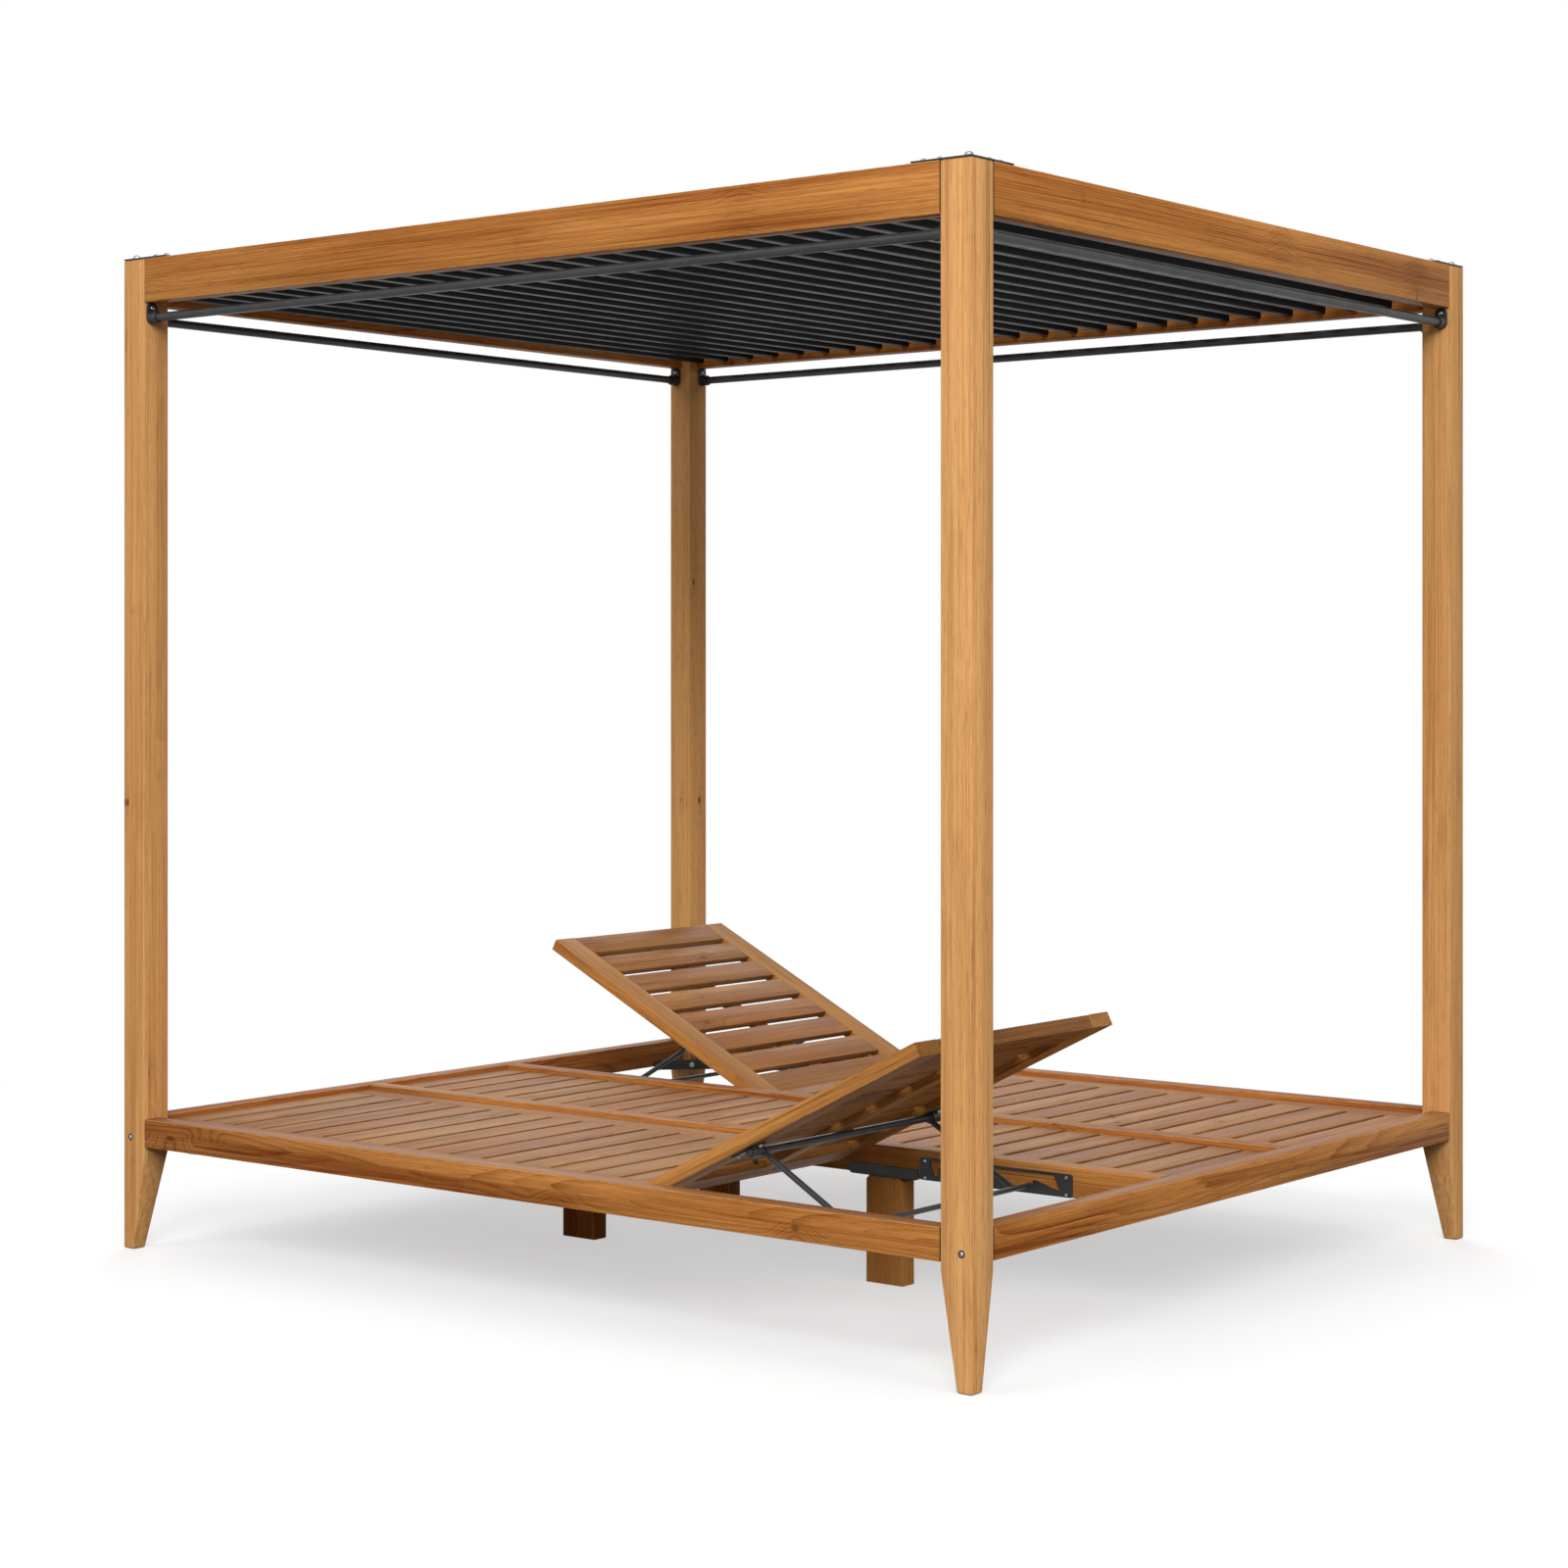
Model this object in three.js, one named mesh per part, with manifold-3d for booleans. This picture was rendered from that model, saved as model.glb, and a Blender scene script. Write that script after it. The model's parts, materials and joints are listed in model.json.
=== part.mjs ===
// Outdoor daybed with a louvred canopy: four posts, a canopy frame with curtain rods, and a slatted deck
// with two lounges whose backrests rise at opposite ends on stays and notched plates.
// Units are millimetres. +X runs along the lounges, -Y is the front, +Z is up.
// The origin is on the floor under the middle of the deck.

import * as THREE from "three";
import { mergeVertices } from "three/addons/utils/BufferGeometryUtils.js";
import Module from "manifold-3d";

const wasm = await Module();
wasm.setup();

// Overall sizes
const OVERALL_LENGTH = 2140;
const OVERALL_DEPTH = 1820;
const POST_HEIGHT = 2050;

// Posts
const POST_SIZE = 64;
const FOOT_SIZE = 31;
const FOOT_TAPER_HEIGHT = 200;
const BOLT_HEAD_RADIUS = 5.5;
const BOLT_HEAD_HEIGHT = 3;
const BOLT_ABOVE_RAIL_BOTTOM = 18;

// Canopy beams and corner plates
const BEAM_HEIGHT = 90;
const BEAM_THICKNESS = 38;
const CORNER_PLATE_THICKNESS = 3;
const CORNER_PLATE_ARM = 62;
const CORNER_PLATE_SCREW_INSET = 14;
const DOME_SCREW_RADIUS = 6.5;
const DOME_SCREW_HEIGHT = 6.5;
const CORNER_NUT_RADIUS = 9;
const CORNER_NUT_HEIGHT = 9.5;

// Louvres
const LOUVRE_COUNT = 26;
const LOUVRE_WIDTH = 22;
const LOUVRE_HEIGHT = 50;
const LOUVRE_WALL = 1.6;
const LOUVRE_ABOVE_BEAM_BOTTOM = 12;
const LOUVRE_CARRIER_THICKNESS = 3;
const LOUVRE_CARRIER_HEIGHT = 30;
const LOUVRE_STEP = 1;

// Curtain rods and their brackets
const CURTAIN_ROD_RADIUS = 9;
const CURTAIN_ROD_WALL = 1.2;
const CURTAIN_ROD_BELOW_BEAM = 31;
const ROD_PLATE_WIDTH = 28;
const ROD_PLATE_HEIGHT = 45;
const ROD_PLATE_THICKNESS = 4;
const ROD_SOCKET_RADIUS = 12.5;
const ROD_SOCKET_LENGTH = 18;
const ROD_PLATE_SCREW_RADIUS = 5;
const ROD_PLATE_SCREW_HEIGHT = 2.5;

// Deck frame
const RAIL_BOTTOM = 214;
const RAIL_HEIGHT = 58;
const RAIL_THICKNESS = 42;
const DIVIDER_THICKNESS = 42;
const CENTRE_BAY_WIDTH = 406;
const CORNER_BRACKET_REACH = 108;
const CORNER_BRACKET_HEIGHT = 24;
const CORNER_BRACKET_BELOW_RAIL = 10;
const CORNER_BRACKET_FLANGE = 26;
const BRACKET_SHEET = 3;
const HANGER_BOLT_RADIUS = 4;
const HANGER_NUT_RADIUS = 7.5;
const HANGER_NUT_HEIGHT = 7;

// Support legs
const LEG_WIDTH = 88;
const LEG_THICKNESS = 40;
const LEG_ANGLE_TO_NOTCH_PLATE = 5.6;
const LEG_CORNER_CUT = 7;
const LEG_ANGLE_LENGTH = 166;
const LEG_ANGLE_HEIGHT = 22;
const LEG_ANGLE_DEPTH = 38;
const BACK_RIGHT_LEG_INWARD_SHIFT = 122;

// Slatted panels
const PANEL_RECESS = 10;
const BOARD_THICKNESS = 26;
const SLAT_THICKNESS = 13;
const SLAT_GAP = 14;
const BACKREST_SLAT_GAP = 20;
const STILE_WIDTH = 64;
const TENON_LENGTH = 16;
const BATTEN_WIDTH = 44;
const BATTEN_HOUSING = 1;
const SEAT_BOARD_COUNT = 15;
const BACKREST_BOARD_COUNT = 8;
const CENTRE_SLAT_COUNT = 25;
const CENTRE_BATTEN_THICKNESS = 20;
const CENTRE_BATTEN_OFFSET = 130;

// Backrest and its pivot rod
const BACKREST_ANGLE = THREE.MathUtils.degToRad(26.5);
const BACKREST_LENGTH = 690;
const BACKREST_SIDE_GAP = 6;
const BACKREST_END_GAP = 32;
const HINGE_GAP = 3;
const PIVOT_ROD_RADIUS = 4;
const PIVOT_ROD_SEAT_DEPTH = 20;
const PIVOT_CLEARANCE = 0.35;

// Stay and its brackets
const STAY_PIVOT_FROM_BACKREST_TOP = 432.4;
const STAY_PIVOT_BELOW_AXIS = 22;
const STAY_LENGTH = 229.5;
const STAY_TUBE_RADIUS = 7;
const STAY_STRUT_RADIUS = 5.5;
const STAY_ROD_RADIUS = 5;
const STAY_TUBE_OVERHANG = 4;
const STAY_STRUT_GAP = 2;
const STAY_END_GAP = 0.5;
const STAY_BRACKET_WIDTH = 26;
const STAY_BRACKET_WALL = 3.5;
const STAY_BRACKET_LONG_END = 48;
const STAY_BRACKET_SHORT_END = 24;
const STAY_SCREW_RADIUS = 4.5;
const STAY_SCREW_HEIGHT = 2.5;

// Notched plates for the stays' lower rods
const NOTCH_PLATE_THICKNESS = 3;
const NOTCH_PLATE_HEIGHT = 44;
const NOTCH_PLATE_LEFT_BAR = 23;
const NOTCH_PLATE_RIGHT_BAR = 28;
const NOTCH_TOP_BAR = 5;
const NOTCH_FLOOR_BAR = 10;
const NOTCH_PITCH = 109;
const NOTCH_COUNT = 3;
const NOTCH_TOOTH_RISE = 16;
const NOTCH_TOOTH_LENGTH = 62;
const NOTCH_TOOTH_BLUNTING = 2;
const NOTCH_POCKET_WIDTH = 20;
const NOTCH_HOOK_REACH = 9;
const NOTCH_PLATE_CORNER_CUT = 3;
const NOTCH_WINDOW_AFTER_LAST_TOOTH = 60;
const NOTCH_WINDOW_SLANT = 12;
const NOTCH_REST_CLEARANCE = 0.5;
const NOTCH_SCREW_RADIUS = 3.2;
const NOTCH_SCREW_HEIGHT = 0.8;

// Gaps between pieces, and the overrun of cuts
const FIT_GAP = 0.3;
const CUT_OVERRUN = 5;
const WELD_DISTANCE = 0.0001;

// Facets of round pieces
const ROUND_SIDES = 24;
const SMALL_SIDES = 12;
const NUT_SIDES = 6;
const DOME_RINGS = 4;

// Derived places of the frame
const HALF_LENGTH = OVERALL_LENGTH / 2;
const HALF_DEPTH = OVERALL_DEPTH / 2;
const POST_INNER_X = HALF_LENGTH - POST_SIZE;
const POST_INNER_Y = HALF_DEPTH - POST_SIZE;
const BEAM_BOTTOM = POST_HEIGHT - BEAM_HEIGHT;
const RAIL_TOP = RAIL_BOTTOM + RAIL_HEIGHT;
const BAY_END_X = HALF_LENGTH - RAIL_THICKNESS;
const BAY_OUTER_Y = HALF_DEPTH - RAIL_THICKNESS;
const DIVIDER_INNER_Y = CENTRE_BAY_WIDTH / 2;
const DIVIDER_OUTER_Y = DIVIDER_INNER_Y + DIVIDER_THICKNESS;
const LOUNGE_CENTRE_Y = (BAY_OUTER_Y + DIVIDER_OUTER_Y) / 2;
const LOUNGE_WIDTH = BAY_OUTER_Y - DIVIDER_OUTER_Y;
const PANEL_TOP = RAIL_TOP - PANEL_RECESS;
const HINGE_X = BAY_END_X - BACKREST_END_GAP - BACKREST_LENGTH;
const HINGE_Z = PANEL_TOP - BOARD_THICKNESS / 2;
const CURTAIN_ROD_Z = BEAM_BOTTOM - CURTAIN_ROD_BELOW_BEAM;

// Derived places of the stay, in the lounge's frame at rest
const BACKREST_WIDTH = LOUNGE_WIDTH - 2 * BACKREST_SIDE_GAP;
const STAY_PIVOT_ALONG = BACKREST_LENGTH - STAY_PIVOT_FROM_BACKREST_TOP;
const STAY_PIVOT_X =
  HINGE_X + STAY_PIVOT_ALONG * Math.cos(BACKREST_ANGLE) + STAY_PIVOT_BELOW_AXIS * Math.sin(BACKREST_ANGLE);
const STAY_PIVOT_Z =
  HINGE_Z + STAY_PIVOT_ALONG * Math.sin(BACKREST_ANGLE) - STAY_PIVOT_BELOW_AXIS * Math.cos(BACKREST_ANGLE);
const NOTCH_FLOOR_Z = RAIL_BOTTOM + NOTCH_FLOOR_BAR;
const STAY_ROD_Z = NOTCH_FLOOR_Z + STAY_ROD_RADIUS + NOTCH_REST_CLEARANCE;
const STAY_ANGLE = Math.asin((STAY_PIVOT_Z - STAY_ROD_Z) / STAY_LENGTH);
const STAY_ROD_X = STAY_PIVOT_X + STAY_LENGTH * Math.cos(STAY_ANGLE);
const STAY_BRACKET_Y = BACKREST_WIDTH / 2 - STILE_WIDTH / 2;

// Derived places along the notched plates, and of the support legs beside them
const LAST_TOOTH_X = STAY_ROD_X + STAY_ROD_RADIUS + NOTCH_REST_CLEARANCE;
const FIRST_TOOTH_X = LAST_TOOTH_X - (NOTCH_COUNT - 1) * NOTCH_PITCH;
const WINDOW_LEFT_X = FIRST_TOOTH_X - NOTCH_POCKET_WIDTH;
const WINDOW_RIGHT_X = LAST_TOOTH_X + NOTCH_WINDOW_AFTER_LAST_TOOTH;
const NOTCH_PLATE_LEFT_X = WINDOW_LEFT_X - NOTCH_PLATE_LEFT_BAR;
const NOTCH_PLATE_RIGHT_X = WINDOW_RIGHT_X + NOTCH_PLATE_RIGHT_BAR;
const LEG_CENTRE_X = NOTCH_PLATE_LEFT_X - LEG_ANGLE_TO_NOTCH_PLATE - LEG_ANGLE_LENGTH / 2;
const BACK_RIGHT_LEG_CENTRE_X = LEG_CENTRE_X - BACK_RIGHT_LEG_INWARD_SHIFT;

const TEAK = new THREE.MeshStandardMaterial({ name: "teak", color: 0xb87a42, roughness: 0.6, metalness: 0 });
const TEAK_SLAT = new THREE.MeshStandardMaterial({
  name: "teak_slat",
  color: 0xa0693c,
  roughness: 0.65,
  metalness: 0,
});
const COATED_METAL = new THREE.MeshStandardMaterial({
  name: "coated_metal",
  color: 0x2e2f31,
  roughness: 0.5,
  metalness: 0.4,
});

const AXES = {
  x: [new THREE.Vector3(0, 1, 0), new THREE.Vector3(0, 0, 1), new THREE.Vector3(1, 0, 0)],
  y: [new THREE.Vector3(1, 0, 0), new THREE.Vector3(0, 0, 1), new THREE.Vector3(0, -1, 0)],
  z: [new THREE.Vector3(1, 0, 0), new THREE.Vector3(0, 1, 0), new THREE.Vector3(0, 0, 1)],
};

// A closed geometry as a solid that can be joined and cut.
function toSolid(geometry) {
  const bare = geometry.index ? geometry.toNonIndexed() : geometry.clone();
  bare.deleteAttribute("normal");
  bare.deleteAttribute("uv");
  const merged = mergeVertices(bare, WELD_DISTANCE);
  return new wasm.Manifold(
    new wasm.Mesh({
      numProp: 3,
      vertProperties: merged.getAttribute("position").array,
      triVerts: new Uint32Array(merged.index.array),
    }),
  );
}

// A named mesh of a solid.
function piece(name, solid, material) {
  const data = solid.getMesh();
  const positions = new Float32Array(data.numVert * 3);
  for (let i = 0; i < data.numVert; i += 1) {
    positions.set(data.vertProperties.subarray(i * data.numProp, i * data.numProp + 3), i * 3);
  }
  const geometry = new THREE.BufferGeometry();
  geometry.setAttribute("position", new THREE.BufferAttribute(positions, 3));
  geometry.setIndex(new THREE.BufferAttribute(new Uint32Array(data.triVerts), 1));
  const mesh = new THREE.Mesh(geometry, material);
  mesh.name = name;
  return mesh;
}

function join(solids) {
  return solids.reduce((all, next) => all.add(next));
}

// A box whose lower and upper rectangles may differ. Each corner is set as given, so that faces of
// neighbouring boxes meet exactly.
function taperedBlock(low, high, z0, z1) {
  const geometry = new THREE.BoxGeometry(1, 1, 1);
  const position = geometry.getAttribute("position");
  for (let i = 0; i < position.count; i += 1) {
    const isLow = position.getZ(i) < 0;
    const rectangle = isLow ? low : high;
    const x = position.getX(i) < 0 ? rectangle.x0 : rectangle.x1;
    const y = position.getY(i) < 0 ? rectangle.y0 : rectangle.y1;
    position.setXYZ(i, x, y, isLow ? z0 : z1);
  }
  return toSolid(geometry);
}

// A box between two corners.
function block(x0, x1, y0, y1, z0, z1) {
  const rectangle = { x0, x1, y0, y1 };
  return taperedBlock(rectangle, rectangle, z0, z1);
}

// A round bar along an axis, from one place on it to another, with its centre line through a point.
function bar(axis, radius, from, to, centre, sides = ROUND_SIDES) {
  const geometry = new THREE.CylinderGeometry(radius, radius, to - from, sides);
  if (axis === "x") {
    geometry.rotateZ(-Math.PI / 2);
  }
  if (axis === "z") {
    geometry.rotateX(Math.PI / 2);
  }
  const place = new THREE.Vector3(centre.x ?? 0, centre.y ?? 0, centre.z ?? 0);
  place[axis] = (from + to) / 2;
  geometry.translate(place.x, place.y, place.z);
  return toSolid(geometry);
}

// A flat outline pushed along an axis between two places. Outlines across X are in (y, z), across Y in
// (x, z), and across Z in (x, y).
function plate(shape, axis, from, to) {
  const settings = { depth: to - from, bevelEnabled: false, curveSegments: SMALL_SIDES };
  const geometry = new THREE.ExtrudeGeometry(shape, settings);
  const [u, v, w] = AXES[axis];
  geometry.applyMatrix4(new THREE.Matrix4().makeBasis(u, v, w));
  const start = axis === "y" ? to : from;
  const shift = new THREE.Vector3();
  shift[axis] = start;
  geometry.translate(shift.x, shift.y, shift.z);
  return toSolid(geometry);
}

function outline(points) {
  return new THREE.Shape(points.map(([u, v]) => new THREE.Vector2(u, v)));
}

// A low dome on a flat face, as a turned profile that stands along Z.
function dome(radius, height, sides = SMALL_SIDES) {
  const profile = [new THREE.Vector2(0, 0), new THREE.Vector2(radius, 0)];
  for (let ring = 1; ring < DOME_RINGS; ring += 1) {
    const turn = (ring / DOME_RINGS) * (Math.PI / 2);
    profile.push(new THREE.Vector2(radius * Math.cos(turn), height * Math.sin(turn)));
  }
  profile.push(new THREE.Vector2(0, height));
  const geometry = new THREE.LatheGeometry(profile, sides);
  geometry.rotateX(Math.PI / 2);
  return geometry;
}

// A dome turned to stand along a direction and set at a point, sunk a little so that it joins.
function domeAt(radius, height, point, direction) {
  const geometry = dome(radius, height + FIT_GAP);
  const turn = new THREE.Quaternion().setFromUnitVectors(new THREE.Vector3(0, 0, 1), direction);
  geometry.applyQuaternion(turn);
  const seat = point.clone().addScaledVector(direction, -FIT_GAP);
  geometry.translate(seat.x, seat.y, seat.z);
  return toSolid(geometry);
}

// Posts with feet tapered on their two inner faces and a bolt head beside each end rail.
function makePost(name, sideX, sideY) {
  const outerX = sideX * HALF_LENGTH;
  const outerY = sideY * HALF_DEPTH;
  const span = (size) => ({
    x0: Math.min(outerX, outerX - sideX * size),
    x1: Math.max(outerX, outerX - sideX * size),
    y0: Math.min(outerY, outerY - sideY * size),
    y1: Math.max(outerY, outerY - sideY * size),
  });
  const full = span(POST_SIZE);
  const shaft = block(full.x0, full.x1, full.y0, full.y1, FOOT_TAPER_HEIGHT, POST_HEIGHT);
  const foot = taperedBlock(span(FOOT_SIZE), full, 0, FOOT_TAPER_HEIGHT);
  const boltPoint = new THREE.Vector3(
    outerX - (sideX * RAIL_THICKNESS) / 2,
    outerY,
    RAIL_BOTTOM + BOLT_ABOVE_RAIL_BOTTOM,
  );
  const bolt = domeAt(BOLT_HEAD_RADIUS, BOLT_HEAD_HEIGHT, boltPoint, new THREE.Vector3(0, sideY, 0));
  return piece(name, join([shaft, foot, bolt]), TEAK);
}

// Canopy beams, flush with the posts' outer faces and tops.
function makeBeamAlongX(name, sideY) {
  const outer = sideY * HALF_DEPTH;
  const inner = sideY * (HALF_DEPTH - BEAM_THICKNESS);
  const end = POST_INNER_X - FIT_GAP;
  const solid = block(-end, end, Math.min(outer, inner), Math.max(outer, inner), BEAM_BOTTOM, POST_HEIGHT);
  return piece(name, solid, TEAK);
}

function makeBeamAlongY(name, sideX) {
  const outer = sideX * HALF_LENGTH;
  const inner = sideX * (HALF_LENGTH - BEAM_THICKNESS);
  const end = POST_INNER_Y - FIT_GAP;
  const solid = block(Math.min(outer, inner), Math.max(outer, inner), -end, end, BEAM_BOTTOM, POST_HEIGHT);
  return piece(name, solid, TEAK);
}

// An L-shaped plate on a post's top, with a cap nut over the post and two dome screws in each arm.
function makeCornerPlate(name, sideX, sideY) {
  const outerX = HALF_LENGTH - FIT_GAP;
  const outerY = HALF_DEPTH - FIT_GAP;
  const armX = POST_INNER_X - CORNER_PLATE_ARM;
  const armY = POST_INNER_Y - CORNER_PLATE_ARM;
  const beamX = HALF_LENGTH - BEAM_THICKNESS;
  const beamY = HALF_DEPTH - BEAM_THICKNESS;
  const corners = [
    [outerX, outerY],
    [armX, outerY],
    [armX, beamY],
    [POST_INNER_X, beamY],
    [POST_INNER_X, POST_INNER_Y],
    [beamX, POST_INNER_Y],
    [beamX, armY],
    [outerX, armY],
  ];
  const bottom = POST_HEIGHT + FIT_GAP;
  const top = bottom + CORNER_PLATE_THICKNESS;
  const sheet = plate(outline(corners.map(([x, y]) => [sideX * x, sideY * y])), "z", bottom, top);
  const middleX = HALF_LENGTH - BEAM_THICKNESS / 2;
  const middleY = HALF_DEPTH - BEAM_THICKNESS / 2;
  const screws = [
    [armX + CORNER_PLATE_SCREW_INSET, middleY],
    [POST_INNER_X - CORNER_PLATE_SCREW_INSET, middleY],
    [middleX, armY + CORNER_PLATE_SCREW_INSET],
    [middleX, POST_INNER_Y - CORNER_PLATE_SCREW_INSET],
  ];
  const up = new THREE.Vector3(0, 0, 1);
  const headAt = (radius, height, x, y) =>
    domeAt(radius, height, new THREE.Vector3(sideX * x, sideY * y, top), up);
  const nut = headAt(CORNER_NUT_RADIUS, CORNER_NUT_HEIGHT, middleX, middleY);
  const heads = screws.map(([x, y]) => headAt(DOME_SCREW_RADIUS, DOME_SCREW_HEIGHT, x, y));
  return piece(name, join([sheet, nut, ...heads]), COATED_METAL);
}

// Open-ended louvre blades between the front and back beams, let into two carrier strips. The blades stand
// a step above the strips and stop a step inside their outer faces.
function makeLouvreBank() {
  const endY = HALF_DEPTH - BEAM_THICKNESS - FIT_GAP;
  const bottom = BEAM_BOTTOM + LOUVRE_ABOVE_BEAM_BOTTOM;
  const top = bottom + LOUVRE_HEIGHT;
  const span = 2 * (HALF_LENGTH - BEAM_THICKNESS);
  const pitch = span / LOUVRE_COUNT;
  const carrierEnd = POST_INNER_X - FIT_GAP;
  const carriers = [-1, 1].map((side) => {
    const near = side * endY;
    const far = side * (endY - LOUVRE_CARRIER_THICKNESS);
    return block(
      -carrierEnd,
      carrierEnd,
      Math.min(near, far),
      Math.max(near, far),
      top - LOUVRE_STEP - LOUVRE_CARRIER_HEIGHT,
      top - LOUVRE_STEP,
    );
  });
  const blades = [];
  const bores = [];
  for (let i = 0; i < LOUVRE_COUNT; i += 1) {
    const x = -span / 2 + (i + 0.5) * pitch;
    const half = LOUVRE_WIDTH / 2;
    blades.push(block(x - half, x + half, LOUVRE_STEP - endY, endY - LOUVRE_STEP, bottom, top));
    const hollow = half - LOUVRE_WALL;
    const boreEnd = endY + CUT_OVERRUN;
    bores.push(block(x - hollow, x + hollow, -boreEnd, boreEnd, bottom + LOUVRE_WALL, top - LOUVRE_WALL));
  }
  return piece("louvre_bank", join([...carriers, ...blades]).subtract(join(bores)), COATED_METAL);
}

// The four places of curtain rods: each under the middle of a beam, between two posts.
const ROD_RUNS = [
  { name: "front", axis: "x", offset: -(HALF_DEPTH - BEAM_THICKNESS / 2), end: POST_INNER_X },
  { name: "back", axis: "x", offset: HALF_DEPTH - BEAM_THICKNESS / 2, end: POST_INNER_X },
  { name: "left", axis: "y", offset: -(HALF_LENGTH - BEAM_THICKNESS / 2), end: POST_INNER_Y },
  { name: "right", axis: "y", offset: HALF_LENGTH - BEAM_THICKNESS / 2, end: POST_INNER_Y },
];

function rodCentre(run) {
  return run.axis === "x" ? { y: run.offset, z: CURTAIN_ROD_Z } : { x: run.offset, z: CURTAIN_ROD_Z };
}

function makeCurtainRod(run) {
  const end = run.end - FIT_GAP - ROD_PLATE_THICKNESS - FIT_GAP;
  const centre = rodCentre(run);
  const tube = bar(run.axis, CURTAIN_ROD_RADIUS, -end, end, centre);
  const bore = bar(
    run.axis,
    CURTAIN_ROD_RADIUS - CURTAIN_ROD_WALL,
    -end - CUT_OVERRUN,
    end + CUT_OVERRUN,
    centre,
  );
  return piece(`curtain_rod_${run.name}`, tube.subtract(bore), COATED_METAL);
}

// A plate with round ends on the post, a screw at its upper end and a socket for the rod at its lower end.
function makeRodBracket(run, side, postName) {
  const radius = ROD_PLATE_WIDTH / 2;
  const lowerZ = CURTAIN_ROD_Z;
  const upperZ = lowerZ + ROD_PLATE_HEIGHT - ROD_PLATE_WIDTH;
  const shape = new THREE.Shape();
  shape.moveTo(run.offset - radius, upperZ);
  shape.lineTo(run.offset - radius, lowerZ);
  shape.absarc(run.offset, lowerZ, radius, Math.PI, 2 * Math.PI, false);
  shape.lineTo(run.offset + radius, upperZ);
  shape.absarc(run.offset, upperZ, radius, 0, Math.PI, false);
  const face = side * (run.end - FIT_GAP);
  const front = side * (run.end - FIT_GAP - ROD_PLATE_THICKNESS);
  const mouth = side * (run.end - FIT_GAP - ROD_PLATE_THICKNESS - ROD_SOCKET_LENGTH);
  const sheet = plate(shape, run.axis, Math.min(face, front), Math.max(face, front));
  const centre = rodCentre(run);
  const socket = bar(run.axis, ROD_SOCKET_RADIUS, Math.min(face, mouth), Math.max(face, mouth), centre);
  const past = mouth - side * CUT_OVERRUN;
  const boreRadius = CURTAIN_ROD_RADIUS + FIT_GAP;
  const bore = bar(run.axis, boreRadius, Math.min(front, past), Math.max(front, past), centre);
  const screwPoint = new THREE.Vector3();
  screwPoint[run.axis] = front;
  screwPoint[run.axis === "x" ? "y" : "x"] = run.offset;
  screwPoint.z = upperZ + (ROD_PLATE_WIDTH / 2 - ROD_PLATE_SCREW_RADIUS) / 2;
  const inward = new THREE.Vector3();
  inward[run.axis] = -side;
  const screw = domeAt(ROD_PLATE_SCREW_RADIUS, ROD_PLATE_SCREW_HEIGHT, screwPoint, inward);
  const solid = join([sheet, socket]).subtract(bore).add(screw);
  return piece(`rod_bracket_${run.name}_at_${postName}`, solid, COATED_METAL);
}

// Blind holes for a backrest's pivot rod, in the rail and the divider beside one lounge.
function pivotSeat(sideY) {
  const x = -sideY * HINGE_X;
  const from = DIVIDER_OUTER_Y - PIVOT_ROD_SEAT_DEPTH;
  const to = BAY_OUTER_Y + PIVOT_ROD_SEAT_DEPTH;
  const start = sideY > 0 ? from : -to;
  const stop = sideY > 0 ? to : -from;
  return bar("y", PIVOT_ROD_RADIUS + PIVOT_CLEARANCE, start, stop, { x, z: HINGE_Z });
}

// Front and back deck rails, with the seat of a pivot rod.
function makeRailAlongX(name, sideY) {
  const end = POST_INNER_X - FIT_GAP;
  const outer = sideY * HALF_DEPTH;
  const inner = sideY * BAY_OUTER_Y;
  const solid = block(-end, end, Math.min(outer, inner), Math.max(outer, inner), RAIL_BOTTOM, RAIL_TOP);
  return piece(name, solid.subtract(pivotSeat(sideY)), TEAK);
}

function makeRailAlongY(name, sideX) {
  const end = POST_INNER_Y - FIT_GAP;
  const outer = sideX * HALF_LENGTH;
  const inner = sideX * BAY_END_X;
  const solid = block(Math.min(outer, inner), Math.max(outer, inner), -end, end, RAIL_BOTTOM, RAIL_TOP);
  return piece(name, solid, TEAK);
}

// Rails between the lounges and the centre bay.
function makeDivider(name, sideY) {
  const end = BAY_END_X - FIT_GAP;
  const outer = sideY * DIVIDER_OUTER_Y;
  const inner = sideY * DIVIDER_INNER_Y;
  const solid = block(-end, end, Math.min(outer, inner), Math.max(outer, inner), RAIL_BOTTOM, RAIL_TOP);
  return piece(name, solid.subtract(pivotSeat(sideY)), TEAK);
}

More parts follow.
